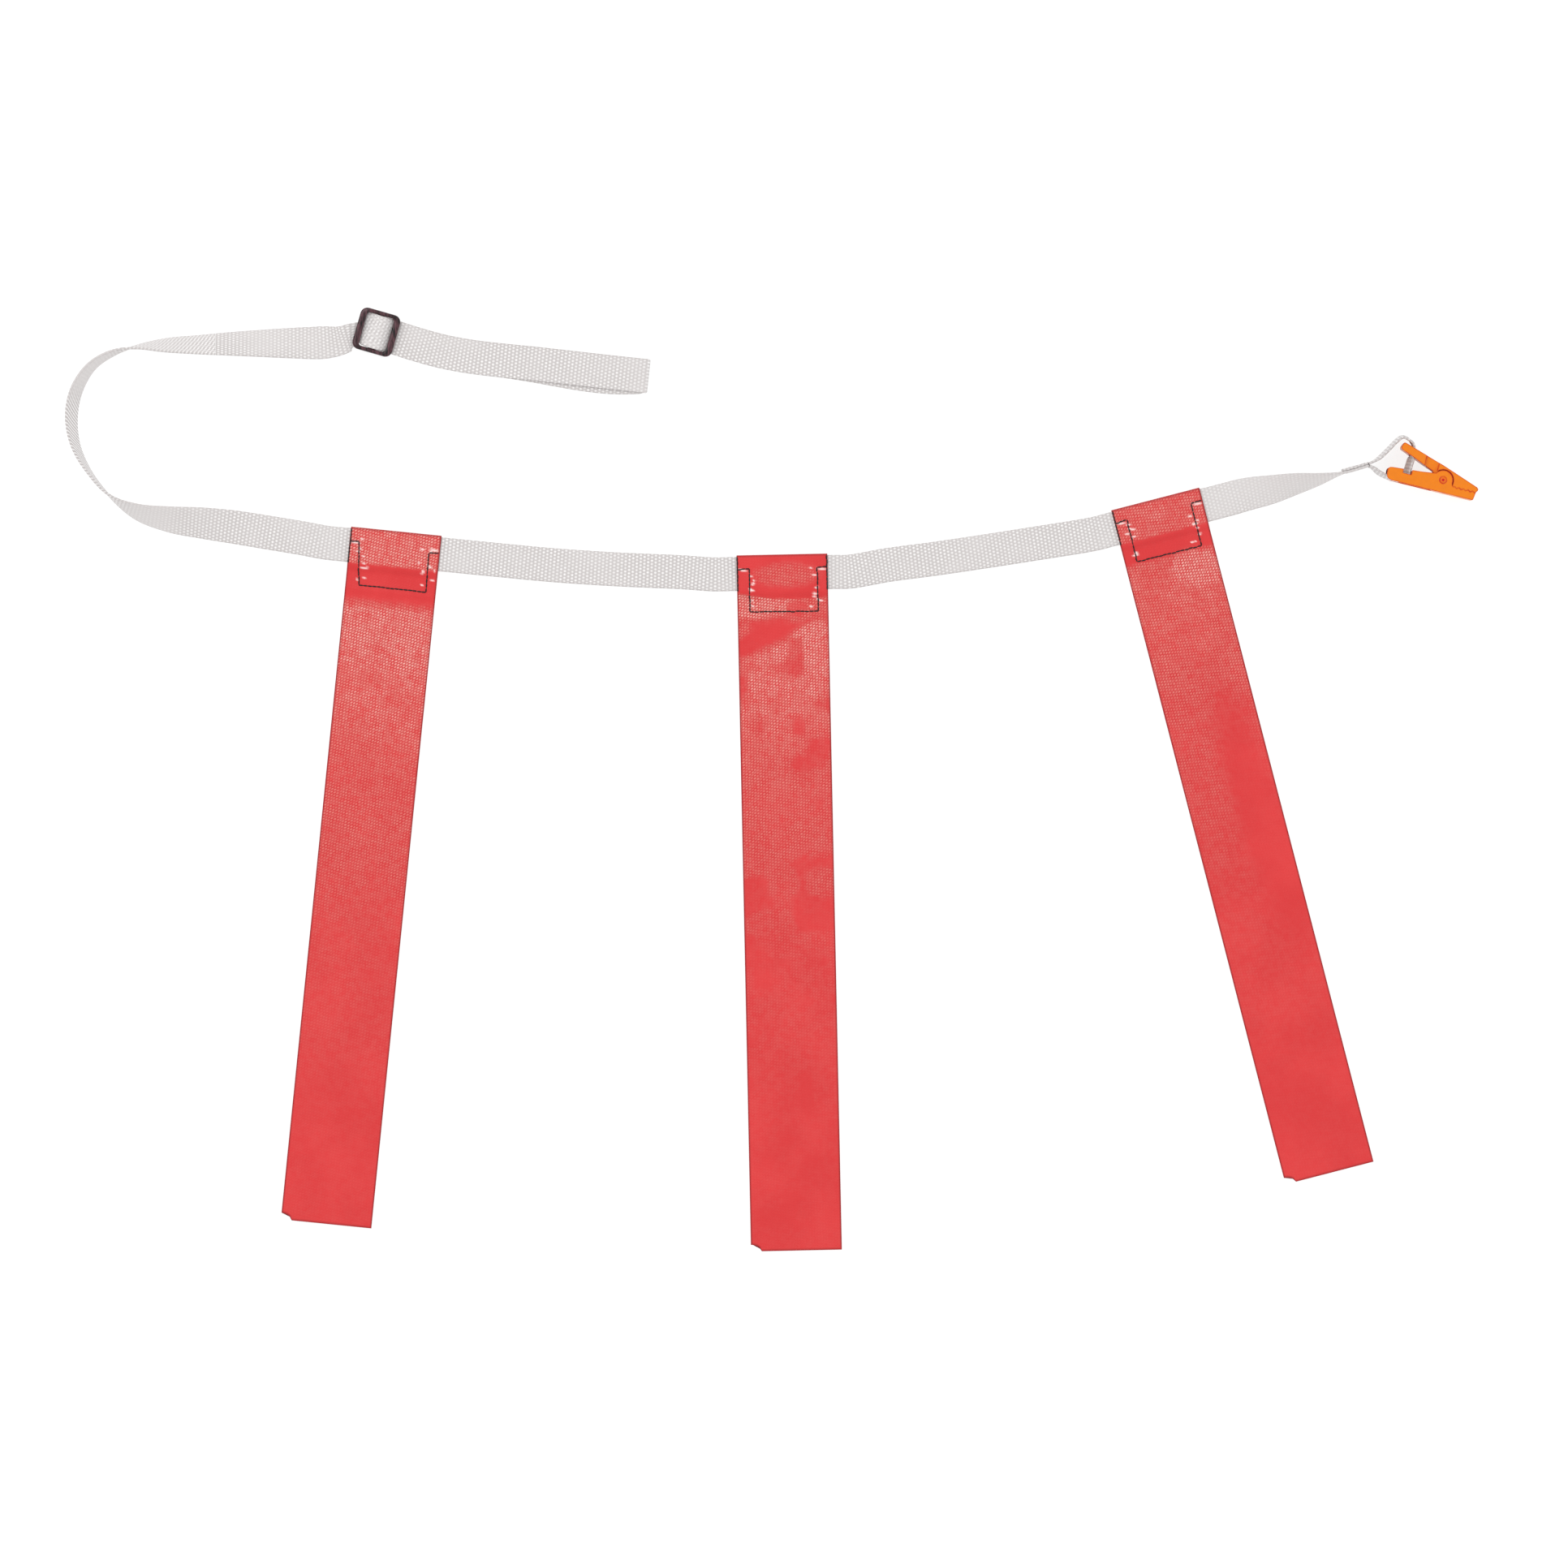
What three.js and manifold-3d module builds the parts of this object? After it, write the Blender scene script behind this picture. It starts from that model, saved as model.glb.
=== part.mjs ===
// Flag-football belt laid flat: webbing belt, three sewn flags, adjusting slide and spring clip.
// Millimetres, +Z up, lying on z = 0, +X to the clip end, the flags hang towards -Y.
import * as THREE from 'three';
import { mergeVertices } from 'three/addons/utils/BufferGeometryUtils.js';
import Module from 'manifold-3d';

const wasm = await Module();
wasm.setup();

// ---- driving dimensions ----
const strapWidth = 19.05;       // 3/4 in webbing
const strapThick = 1.5;
const clothThick = 0.6;         // coated flag fabric
const fit = 0.3;                // clearance between neighbouring pieces
const threadProud = 0.4;        // thickness of the drawn thread lines
const threadLift = 0.15;        // thread lines clear the cloth by this much
const flagWidth = 50.8;         // 2 in
const flagLength = 389;         // fold to free end
const seamDrop = 31.2;          // fold to the bottom seam, where the flag starts to swing
const notchWide = 6;            // nibbled lower corner of each flag
const notchHigh = 3.7;
const clipWidth = 23;           // clip size across the webbing
const clipTilt = -13.9;         // degrees, the clip's jaw direction
const clipPivot = [374.6, 167.1];
const slideCentre = [-220.3, 250];
const slideTilt = -16;          // degrees

// fold centre of each flag and its lean, degrees
const flags = [
  { name: 'flag_1', fold: [-209.2, 139], lean: -5.8 },
  { name: 'flag_2', fold: [6.1, 126], lean: 1.2 },
  { name: 'flag_3', fold: [214.6, 157], lean: 14.5 },
];

const colours = {
  webbing: { color: 0xdbd7d6, roughness: 0.85 },
  cloth: { color: 0xe34242, roughness: 0.45 },
  thread: { color: 0x1c1a1c, roughness: 0.8 },
  slide: { color: 0x3c2a2e, roughness: 0.4 },
  clip: { color: 0xf68b1f, roughness: 0.4 },
  pin: { color: 0xd8431c, roughness: 0.4 },
  spring: { color: 0x9a9a9c, roughness: 0.3, metalness: 0.9 },
};

const group = new THREE.Group();
const radians = THREE.MathUtils.degToRad;

function addMesh(name, geometry, finish, parent = group) {
  const mesh = new THREE.Mesh(geometry, new THREE.MeshStandardMaterial(colours[finish]));
  mesh.name = name;
  parent.add(mesh);
  return mesh;
}

// ---- joining and cutting closed meshes ----
function toSolid(geometry) {
  const bare = geometry.clone();
  bare.deleteAttribute('normal');
  bare.deleteAttribute('uv');
  const merged = mergeVertices(bare, 1e-4);
  return new wasm.Manifold(new wasm.Mesh({
    numProp: 3,
    vertProperties: new Float32Array(merged.attributes.position.array),
    triVerts: new Uint32Array(merged.index.array),
  }));
}

function toGeometry(solid) {
  const mesh = solid.getMesh();
  const geometry = new THREE.BufferGeometry();
  geometry.setAttribute('position', new THREE.BufferAttribute(mesh.vertProperties, 3));
  geometry.setIndex(new THREE.BufferAttribute(mesh.triVerts, 1));
  geometry.computeVertexNormals();
  return geometry;
}

const fuse = (...parts) => toGeometry(parts.map(toSolid).reduce((a, b) => a.add(b)));
const carve = (body, ...tools) => toGeometry(tools.map(toSolid).reduce((a, b) => a.subtract(b), toSolid(body)));

// ---- small shape makers ----
function outline(points) {
  return new THREE.Shape(points.map(([x, y]) => new THREE.Vector2(x, y)));
}

// a flat outline raised from z = low to z = high
function plate(shape, low, high) {
  const geometry = new THREE.ExtrudeGeometry(shape, { depth: high - low, bevelEnabled: false, curveSegments: 8 });
  return geometry.translate(0, 0, low);
}

function block(x0, x1, y0, y1, z0, z1) {
  const geometry = new THREE.BoxGeometry(x1 - x0, y1 - y0, z1 - z0);
  return geometry.translate((x0 + x1) / 2, (y0 + y1) / 2, (z0 + z1) / 2);
}

function disc(radius, low, high, sides = 32) {
  const geometry = new THREE.CylinderGeometry(radius, radius, high - low, sides);
  return geometry.rotateX(Math.PI / 2).translate(0, 0, (low + high) / 2);
}

// outline of a band of even thickness along a smooth line through the points
function bandShape(points, thick, steps = 24) {
  const line = new THREE.SplineCurve(points.map(([x, y]) => new THREE.Vector2(x, y)));
  const left = [];
  const right = [];
  for (let i = 0; i <= steps; i += 1) {
    const at = line.getPoint(i / steps);
    const along = line.getTangent(i / steps);
    left.push([at.x - along.y * thick / 2, at.y + along.x * thick / 2]);
    right.push([at.x + along.y * thick / 2, at.y - along.x * thick / 2]);
  }
  return outline(left.concat(right.reverse()));
}

// ---- the webbing's route, from the clip end round to the tail ----
// each point: x, y, roll (0 flat, 90 standing on edge, over 90 leaning outwards), lift off the floor
const pocketLift = clothThick + fit;
const clipEndLift = 2;

// four points in line through a flag's pocket, so the webbing is straight inside it
function pocketPoints({ fold, lean }) {
  const turn = radians(lean);
  const down = pocketLift + strapWidth / 2;
  const centre = [fold[0] + down * Math.sin(turn), fold[1] - down * Math.cos(turn)];
  return [38, 27, -27, -38].map((d) => [
    centre[0] + d * Math.cos(turn), centre[1] + d * Math.sin(turn), 0, Math.abs(d) < 30 ? pocketLift : 0.4,
  ]);
}

function slidePoint(x) {
  const turn = radians(slideTilt);
  return [slideCentre[0] + x * Math.cos(turn), slideCentre[1] + x * Math.sin(turn), 0, 0];
}

const routePoints = [
  [333.3, 175.2, 90, clipEndLift], [319.7, 171.4, 90, 1.5], [306.1, 167.8, 72, 1], [292.5, 165.1, 52, 0],
  [278.9, 162.0, 33, 0], [265.3, 159.4, 14, 0],
  ...pocketPoints(flags[2]),
  [145, 131.6, 0, 0], [118, 127.4, 0, 0], [90.7, 123.4, 0, 0], [65, 120.0, 0, 0],
  ...pocketPoints(flags[1]),
  [-49.9, 116.0, 0, 0], [-86.2, 117.6, 0, 0], [-122.4, 120.0, 0, 0], [-145, 122.1, 0, 0],
  ...pocketPoints(flags[0]),
  [-263.0, 135.2, 4, 0], [-281.2, 138.2, 6, 0], [-299.3, 141.1, 12, 0], [-317.5, 143.4, 25, 0],
  [-335.6, 145.4, 42, 0], [-353.7, 149.6, 64, 0], [-369.0, 158.5, 90, 0], [-381.0, 172.0, 101, 0],
  [-388.6, 187.0, 108, 0], [-390.9, 203.0, 110, 0], [-387.8, 218.0, 108, 0], [-379.0, 231.0, 102, 0],
  [-367.0, 238.4, 96, 0], [-354.0, 241.6, 84, 0], [-337.9, 242.6, 66, 0], [-319.7, 242.9, 56, 0],
  [-301.6, 243.4, 46, 0], [-283.4, 243.9, 36, 0], [-265.3, 244.6, 24, 0], [-250.0, 247.2, 10, 0],
  slidePoint(-12), slidePoint(0), slidePoint(12),
  [-200.0, 243.9, 0, 0], [-183.7, 239.4, 0, 0], [-165.5, 236.1, 0, 0], [-129.3, 232.2, 0, 0],
  [-93.0, 228.1, 0, 0], [-68.0, 225.4, 0, 0],
];

const routeLine = new THREE.CatmullRomCurve3(
  routePoints.map(([x, y]) => new THREE.Vector3(x, y, 0)), false, 'centripetal');
const routeSamples = 4000;
const routeTable = [0];
for (let i = 1; i <= routeSamples; i += 1) {
  const step = routeLine.getPoint(i / routeSamples).distanceTo(routeLine.getPoint((i - 1) / routeSamples));
  routeTable.push(routeTable[i - 1] + step);
}

// place along the curve's own parameter for a distance in mm from the clip end
function parameterAt(distance) {
  let i = routeTable.findIndex((d) => d > distance);
  if (i < 1) i = distance <= 0 ? 1 : routeSamples;
  const part = (distance - routeTable[i - 1]) / (routeTable[i] - routeTable[i - 1]);
  return (i - 1 + part) / routeSamples;
}

// distance along the route of the sample closest to a point
function distanceNear(x, y) {
  const target = new THREE.Vector3(x, y, 0);
  let best = 0;
  let bestGap = Infinity;
  for (let i = 0; i <= routeSamples; i += 4) {
    const gap = routeLine.getPoint(i / routeSamples).distanceTo(target);
    if (gap < bestGap) {
      bestGap = gap;
      best = routeTable[i];
    }
  }
  return best;
}

// roll and lift run evenly from one route point to the next
function settingAt(u, column) {
  const place = THREE.MathUtils.clamp(u, 0, 1) * (routePoints.length - 1);
  const i = Math.min(Math.floor(place), routePoints.length - 2);
  return THREE.MathUtils.lerp(routePoints[i][column], routePoints[i + 1][column], place - i);
}

// centre, direction, width direction and face direction of the webbing at a distance
function webbingFrame(distance) {
  const u = THREE.MathUtils.clamp(parameterAt(distance), 0, 1);
  const along = routeLine.getTangent(u);
  const roll = radians(settingAt(u, 2));
  const inward = new THREE.Vector3(along.y, -along.x, 0);
  const up = new THREE.Vector3(0, 0, 1);
  const across = inward.clone().multiplyScalar(Math.cos(roll)).addScaledVector(up, Math.sin(roll));
  const face = up.clone().multiplyScalar(Math.cos(roll)).addScaledVector(inward, -Math.sin(roll));
  const height = (strapWidth * Math.sin(roll) + strapThick * Math.abs(Math.cos(roll))) / 2;
  const centre = routeLine.getPoint(u);
  centre.z = height + settingAt(u, 3);
  return { centre, along, across, face };
}

// bends a mesh whose x runs along the webbing from its start, y across it and z through it
function bendAlong(geometry, start, offset = 0) {
  const spot = geometry.attributes.position;
  for (let i = 0; i < spot.count; i += 1) {
    const { centre, across, face } = webbingFrame(start + spot.getX(i));
    centre.addScaledVector(across, -spot.getY(i)).addScaledVector(face, spot.getZ(i) + offset);
    spot.setXYZ(i, centre.x, centre.y, centre.z);
  }
  return geometry;
}

function strap(start, end, { width = strapWidth, offset = 0, step = 7 } = {}) {
  const length = end - start;
  const parts = Math.ceil(length / step);
  const band = new THREE.BoxGeometry(length, width, strapThick, parts, 1, 1).translate(length / 2, 0, 0);
  return bendAlong(band, start, offset);
}

// ---- webbing ----
const joinDistance = 0;
const sewnEnd = 15;
const rightHinge = distanceNear(145, 131.6);
const leftHinge = distanceNear(-145, 122.1);
const leftTwist = distanceNear(-308, 142);
const bendHinge = distanceNear(-390.9, 203);
const feedStart = distanceNear(-301.6, 243.4);
const slideIn = distanceNear(...slidePoint(-12));
const slideOut = distanceNear(...slidePoint(12));
const tailStart = distanceNear(-178, 238.3);
const tailEnd = routeTable[routeSamples];
const halfFit = fit / 2;
const flexHalf = 6;             // short stretch at the upright bend that flexes as the tail swings

addMesh('webbing_right_run', strap(joinDistance + fit, rightHinge - halfFit), 'webbing');
addMesh('webbing_center_run', strap(rightHinge + halfFit, leftHinge - halfFit), 'webbing');
addMesh('webbing_left_run', strap(leftHinge + halfFit, leftTwist - halfFit), 'webbing');
addMesh('webbing_left_bend', strap(leftTwist + halfFit, bendHinge - flexHalf - fit, { step: 5 }), 'webbing');
addMesh('webbing_bend_flex', strap(bendHinge - flexHalf, bendHinge + flexHalf, { step: 3 }), 'webbing');
addMesh('webbing_top_bend', strap(bendHinge + flexHalf + fit, feedStart - halfFit, { step: 5 }), 'webbing');
addMesh('webbing_feed', strap(feedStart + halfFit, slideIn - 5.5, { width: 14, step: 5 }), 'webbing');
addMesh('webbing_sewn_end', strap(joinDistance + fit, sewnEnd, { offset: -strapThick - fit - 0.2 }), 'webbing');

// folded tail: lower layer on the floor, upper layer over it, joined by a round fold at the end
function stepsBetween(from, to, step = 8) {
  const count = Math.ceil(Math.abs(to - from) / step);
  return Array.from({ length: count + 1 }, (_, i) => THREE.MathUtils.lerp(from, to, i / count));
}

const lowerLayer = [0, strapThick];
const upperLayer = [strapThick + fit, 2 * strapThick + fit];

function foldArc(centreX, radius, from, to) {
  return Array.from({ length: 7 }, (_, i) => {
    const angle = radians(THREE.MathUtils.lerp(from, to, i / 6));
    return [centreX + radius * Math.cos(angle), upperLayer[1] / 2 + radius * Math.sin(angle)];
  });
}

// z of a mesh given from the floor, bent along the route's flat stretch
function bendFlat(geometry, start) {
  return bendAlong(geometry.rotateX(Math.PI / 2), start, -strapThick / 2);
}

function sideOn(shape, width = strapWidth) {
  return plate(shape, -width / 2, width / 2);
}

const tailLength = tailEnd - tailStart;
const foldX = tailLength - upperLayer[1] / 2;
addMesh('webbing_tail', bendFlat(sideOn(outline([
  ...stepsBetween(0, foldX).map((x) => [x, lowerLayer[0]]).slice(0, -1),
  ...foldArc(foldX, upperLayer[1] / 2, -90, 90),
  ...stepsBetween(foldX, 0).map((x) => [x, upperLayer[1]]).slice(1),
  ...stepsBetween(0, foldX).map((x) => [x, upperLayer[0]]).slice(0, -1),
  ...foldArc(foldX, fit / 2, 90, -90),
  ...stepsBetween(foldX, 0).map((x) => [x, lowerLayer[1]]).slice(1),
])), tailStart), 'webbing');

function layerStrip(from, to, [low, high]) {
  return bendFlat(sideOn(outline([
    ...stepsBetween(0, to - from).map((x) => [x, low]),
    ...stepsBetween(to - from, 0).map((x) => [x, high]),
  ])), from);
}
addMesh('webbing_tail_upper_feed', layerStrip(slideOut + fit, tailStart - fit, upperLayer), 'webbing');
addMesh('webbing_tail_lower_feed', layerStrip(slideOut + fit, tailStart - fit, lowerLayer), 'webbing');

// ---- flags: a sleeve sewn round the webbing and a blade hanging from its seam ----
// in a flag's own frame x runs along the webbing and the fold lies on y = 0
const sleeveLow = clothThick;
const sleeveHigh = pocketLift + strapThick + fit;
const sleeveFar = clothThick + 2 * fit + strapWidth;
const seamTop = 2 * clothThick;
const seamHalfGap = fit / 2;

function sleeveShape() {
  const top = sleeveHigh + clothThick;
  const round = top / 2;
  const shape = new THREE.Shape();
  shape.moveTo(-seamDrop + seamHalfGap, 0);
  shape.lineTo(-round, 0);
  shape.absarc(-round, round, round, -Math.PI / 2, Math.PI / 2, false);
  shape.lineTo(-sleeveFar, top);
  shape.quadraticCurveTo(-sleeveFar - 2.5, top, -sleeveFar - 4.5, seamTop);
  shape.lineTo(-seamDrop + seamHalfGap, seamTop);
  shape.closePath();
  const hollow = new THREE.Path();
  hollow.moveTo(-clothThick, sleeveLow);
  hollow.lineTo(-clothThick, sleeveHigh);
  hollow.lineTo(-sleeveFar, sleeveHigh);
  hollow.lineTo(-sleeveFar, sleeveLow);
  hollow.closePath();
  shape.holes.push(hollow);
  return shape;
}

function bladeShape() {
  const left = -flagWidth / 2;
  const top = -seamDrop - seamHalfGap;
  const shape = new THREE.Shape();
  shape.moveTo(left, top);
  shape.lineTo(left, -flagLength + notchHigh);
  shape.quadraticCurveTo(left + notchWide * 0.9, -flagLength + notchHigh, left + notchWide, -flagLength);
  shape.lineTo(-left, -flagLength);
  shape.lineTo(-left, top);
  shape.closePath();
  return shape;
}

// thread lines: down from a short tick at each edge, and across along the bottom seam
function stitchShape() {
  const edge = flagWidth / 2;
  const line = edge - 7.5;
  const tick = -7.3;
  const bottom = -seamDrop + 1.4;
  const half = 0.35;
  return outline([
    [-edge, tick + half], [-line + half, tick + half], [-line + half, bottom + half],
    [line - half, bottom + half], [line - half, tick + half], [edge, tick + half],
    [edge, tick - half], [line + half, tick - half], [line + half, bottom - half],
    [-line - half, bottom - half], [-line - half, tick - half], [-edge, tick - half],
  ]);
}

// the thread lies on the sleeve: high over the webbing, low along the seam
function stitchGeometry() {
  const flat = plate(stitchShape(), 0, 4);
  const top = sleeveHigh + clothThick + threadLift;
  const low = seamTop + threadLift;
  const brow = -sleeveFar - 2;   // where the cloth starts down from the webbing's edge
  const foot = brow - 3.2;
  const cover = outline([
    [0, top], [0, top + threadProud], [brow - 0.3, top + threadProud], [foot + 0.2, low + 0.3 + threadProud],
    [foot - 0.3, low + threadProud], [-seamDrop, low + threadProud], [-seamDrop, low], [foot - 0.3, low],
    [foot + 0.2, low + 0.3], [brow, top],
  ].reverse());
  const skin = plate(cover, -flagWidth, flagWidth).rotateX(Math.PI / 2).rotateZ(Math.PI / 2);
  return toGeometry(toSolid(flat.translate(0, 0, 0.5)).intersect(toSolid(skin)));
}

for (const flag of flags) {
  const place = new THREE.Group();
  place.position.set(flag.fold[0], flag.fold[1], 0);
  place.rotation.z = radians(flag.lean);
  group.add(place);
  const sleeve = plate(sleeveShape(), -flagWidth / 2, flagWidth / 2).rotateX(Math.PI / 2).rotateZ(Math.PI / 2);
  addMesh(`${flag.name}_sleeve`, sleeve, 'cloth', place);
  addMesh(`${flag.name}_blade`, plate(bladeShape(), 0, clothThick), 'cloth', place);
  addMesh(`${flag.name}_stitching`, stitchGeometry(), 'thread', place);
}

// ---- adjusting slide, in its own frame: x along the webbing ----
const slideLong = 23;
const slideWide = strapWidth + 2 * fit + 4.4;
const barLow = 4.2;             // side bars pass over the webbing
const slideTop = 6.8;
const sideBar = 3.7;
const centreBar = { half: 2, low: 1.9, high: 3.7 };
const slideRound = 4;

function roundedRectangle(long, wide, radius) {
  const x = long / 2;
  const y = wide / 2;
  const shape = new THREE.Shape();
  shape.moveTo(-x + radius, -y);
  shape.lineTo(x - radius, -y);
  shape.absarc(x - radius, -y + radius, radius, -Math.PI / 2, 0, false);
  shape.lineTo(x, y - radius);
  shape.absarc(x - radius, y - radius, radius, 0, Math.PI / 2, false);
  shape.lineTo(-x + radius, y);
  shape.absarc(-x + radius, y - radius, radius, Math.PI / 2, Math.PI, false);
  shape.lineTo(-x, -y + radius);
  shape.absarc(-x + radius, -y + radius, radius, Math.PI, Math.PI * 1.5, false);
  return shape;
}

const slidePlace = new THREE.Group();
slidePlace.position.set(slideCentre[0], slideCentre[1], 0);
slidePlace.rotation.z = radians(slideTilt);
group.add(slidePlace);
const innerWide = strapWidth + 2 * fit;
addMesh('slide_frame', carve(
  plate(roundedRectangle(slideLong, slideWide, slideRound), centreBar.low, slideTop),
  block(-slideLong, slideLong, -innerWide / 2, innerWide / 2, 0, barLow),
  block(-slideLong / 2 + sideBar, slideLong / 2 - sideBar, -innerWide / 2, innerWide / 2, 0, slideTop + 1),
), 'slide', slidePlace);
const bar = block(-centreBar.half, centreBar.half, -innerWide / 2 - 1, innerWide / 2 + 1, centreBar.low, centreBar.high);
const frameMesh = slidePlace.children[0];
frameMesh.geometry = fuse(frameMesh.geometry, bar);

const threadedLine = [
  [-12, 2.55], [-8.2, 2.6], [-5.2, 5.0], [-2.4, 6.45], [0, 6.65], [2.4, 6.45], [5.2, 5.0], [8.2, 2.6], [12, 2.55],
];
const anchorLine = [
  [12, 0.8], [6, 0.8], [0, 0.82], [-2.9, 1.35], [-3.5, 2.9], [-2.7, 4.5], [0, 4.95], [2.4, 4.6], [3.6, 3.7],
];
const acrossSlide = (shape) => sideOn(shape).rotateX(Math.PI / 2);
addMesh('webbing_threaded', acrossSlide(bandShape(threadedLine, strapThick, 40)), 'webbing', slidePlace);
addMesh('webbing_anchor', acrossSlide(bandShape(anchorLine, strapThick, 40)), 'webbing', slidePlace);

// ---- spring clip, in its own frame: pivot at the origin, x towards the nose, z the hinge ----
const clipPlace = new THREE.Group();
clipPlace.position.set(clipPivot[0], clipPivot[1], 0);
clipPlace.rotation.z = radians(clipTilt);
group.add(clipPlace);

const cheek = (clipWidth - strapWidth - 2 * fit) / 2;   // side wall of the lower lever
const earRadius = 5.4;
const pinRadius = 1.5;
const noseFront = 19.4;
const toothStart = 6.4;
const toothCount = 5;
const toothHigh = 0.45;

// wavy biting line between the two jaws, shifted down or up by half the gap
function toothLine(shift) {
  const count = toothCount * 4;
  return Array.from({ length: count + 1 }, (_, i) => {
    const x = THREE.MathUtils.lerp(toothStart, noseFront, i / count);
    return [x, -2.6 + shift + toothHigh * Math.sin((i / 4) * 2 * Math.PI)];
  });
}

// lower lever: wall open outwards below the handle, a solid nose, two cheeks with ears round the pin
const lowerWall = outline([
  ...toothLine(-0.18), [noseFront - 0.6, -6.7], [noseFront - 1.4, -7], [-4.5, -7], [-7.5, -4.5],
  [-30.6, -3.6], [-30.8, -1.4], [-8, -2.4], [-5, -4.7], [4.6, -4.7], [5.6, -2.8],
].reverse());
const lowerCheek = outline([
  [5.6, -7], [-28.5, -7], [-30.4, -6.2], [-31.2, -4.4], [-31.4, -1.2], [-30.6, 0], [-29, 0.3],
  [-12, 1.8], [-4.6, 2.8], [0, 4.6], [4.6, 2.6], [5.6, -1.6],
].reverse());
const pinHole = disc(pinRadius + fit, -1, clipWidth + 1);
const slotHalf = strapWidth / 2 + fit;
const slotMiddle = clipWidth / 2;
addMesh('clip_lower_lever', carve(
  fuse(
    plate(lowerWall, 0, clipWidth),
    plate(lowerCheek, 0, cheek), plate(lowerCheek, clipWidth - cheek, clipWidth),
    disc(earRadius, 0, cheek), disc(earRadius, clipWidth - cheek, clipWidth),
  ),
  pinHole,
  block(-23.2, -18.4, -8, 3, slotMiddle - slotHalf, slotMiddle + slotHalf),
), 'clip', clipPlace);

// upper lever: full-width handle and nose, narrowed between the ears round the pin
const upperBody = outline([
  ...toothLine(0.18).slice().reverse(), [5.6, -1.6], [2.6, -3.4], [-1.6, -3.6], [-4.4, -0.6], [-6.8, 3.6],
  [-9, 4.4], [-26.6, 11.3], [-27, 12.6], [-25.9, 15.2], [-25, 15.2], [-1.4, 7.9], [19.3, 0.6], [20.3, -0.3],
  [20.2, -1.2],
]);
const handleFrom = -12;
const innerLow = cheek + fit;
const innerHigh = clipWidth - cheek - fit;
const earClear = earRadius + fit + 0.2;
const upperSides = (low, high) => carve(
  plate(upperBody, low, high),
  disc(earClear, low - 1, high + 1, 48),
  block(handleFrom, -4.2, -8, 12, low - 1, high + 1),
  block(-8, earClear, -8, 0, low - 1, high + 1),
);
const bossGap = [8.2, 14.8];    // room for the spring between the two bosses
const springRoom = 4.2;
// the two full-width side layers overlap the narrow body by a hair so that they join
const upperFull = fuse(
  plate(upperBody, innerLow, innerHigh),
  upperSides(0, innerLow + 0.1),
  upperSides(innerHigh - 0.1, clipWidth),
);
addMesh('clip_upper_lever', carve(
  upperFull,
  pinHole,
  disc(springRoom, bossGap[0], bossGap[1]),
  block(-12, 4, -4.2, 0, bossGap[0], bossGap[1]),
  block(-21.6, -18, 8, 16, slotMiddle - slotHalf, slotMiddle + slotHalf),
), 'clip', clipPlace);

addMesh('clip_pin', disc(pinRadius, 0.2, clipWidth - 0.2, 24), 'pin', clipPlace);

// torsion spring: coils round the pin, one leg along each handle
const springWire = 0.9;
const springRadius = pinRadius + fit + springWire / 2 + 0.35;
const springTurns = 3;
const springFrom = bossGap[0] + springWire / 2 + fit;
const springTo = bossGap[1] - springWire / 2 - fit;
class CoilPath extends THREE.Curve {
  getPoint(t, target = new THREE.Vector3()) {
    const angle = radians(205) + t * (springTurns * 2 * Math.PI - radians(40));
    const z = THREE.MathUtils.lerp(springFrom, springTo, t);
    return target.set(springRadius * Math.cos(angle), springRadius * Math.sin(angle), z);
  }
}
const wireSection = outline(Array.from({ length: 8 }, (_, i) => [
  springWire / 2 * Math.cos(i * Math.PI / 4), springWire / 2 * Math.sin(i * Math.PI / 4),
]));
addMesh('clip_spring', new THREE.ExtrudeGeometry(wireSection, {
  extrudePath: new CoilPath(), steps: 60, bevelEnabled: false,
}), 'spring', clipPlace);

// webbing loop through both handles, standing on edge between the clip's sides
const loopLine = [
  [-40.6, 0.2], [-37.5, 3.2], [-33.5, 9.5], [-29.6, 16.0], [-27.2, 18.3], [-23.4, 17.6], [-20.4, 15.2],
  [-19.6, 12], [-19.9, 6], [-20.2, 1], [-20.6, -2.6], [-22.4, -5.2], [-26, -5.7], [-31, -5.4], [-35.5, -3.9],
  [-38.8, -1.8],
];
const loopLow = slotMiddle - strapWidth / 2;
addMesh('webbing_loop', plate(bandShape(loopLine, strapThick, 64), loopLow, loopLow + strapWidth), 'webbing', clipPlace);

// ---- hidden thread: the bar tacks that close the clip loop and hold the tail to the slide ----
function tackGeometry(rows, pitch, width) {
  const spine = block(0, rows * pitch, -0.35, 0.35, -threadProud / 2, threadProud / 2);
  const bars = Array.from({ length: rows }, (_, i) => block(
    i * pitch + 0.2, i * pitch + 0.9, -width / 2, width / 2, -threadProud / 2, threadProud / 2));
  return bars.reduce((a, b) => fuse(a, b), spine);
}
const tackOffset = strapThick / 2 + threadLift + threadProud / 2;
addMesh('clip_loop_stitching', bendAlong(tackGeometry(4, 3, 14), joinDistance + 1.5, tackOffset), 'thread');

const slideTack = tackGeometry(5, 3, 1.2).rotateZ(Math.PI / 2).translate(4.3, -6.4, strapThick + 0.65);
addMesh('slide_stitching', slideTack, 'thread', slidePlace);

export default group;
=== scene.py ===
import math
import bpy
import bmesh
import numpy as np
from mathutils import Matrix, Vector


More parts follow.
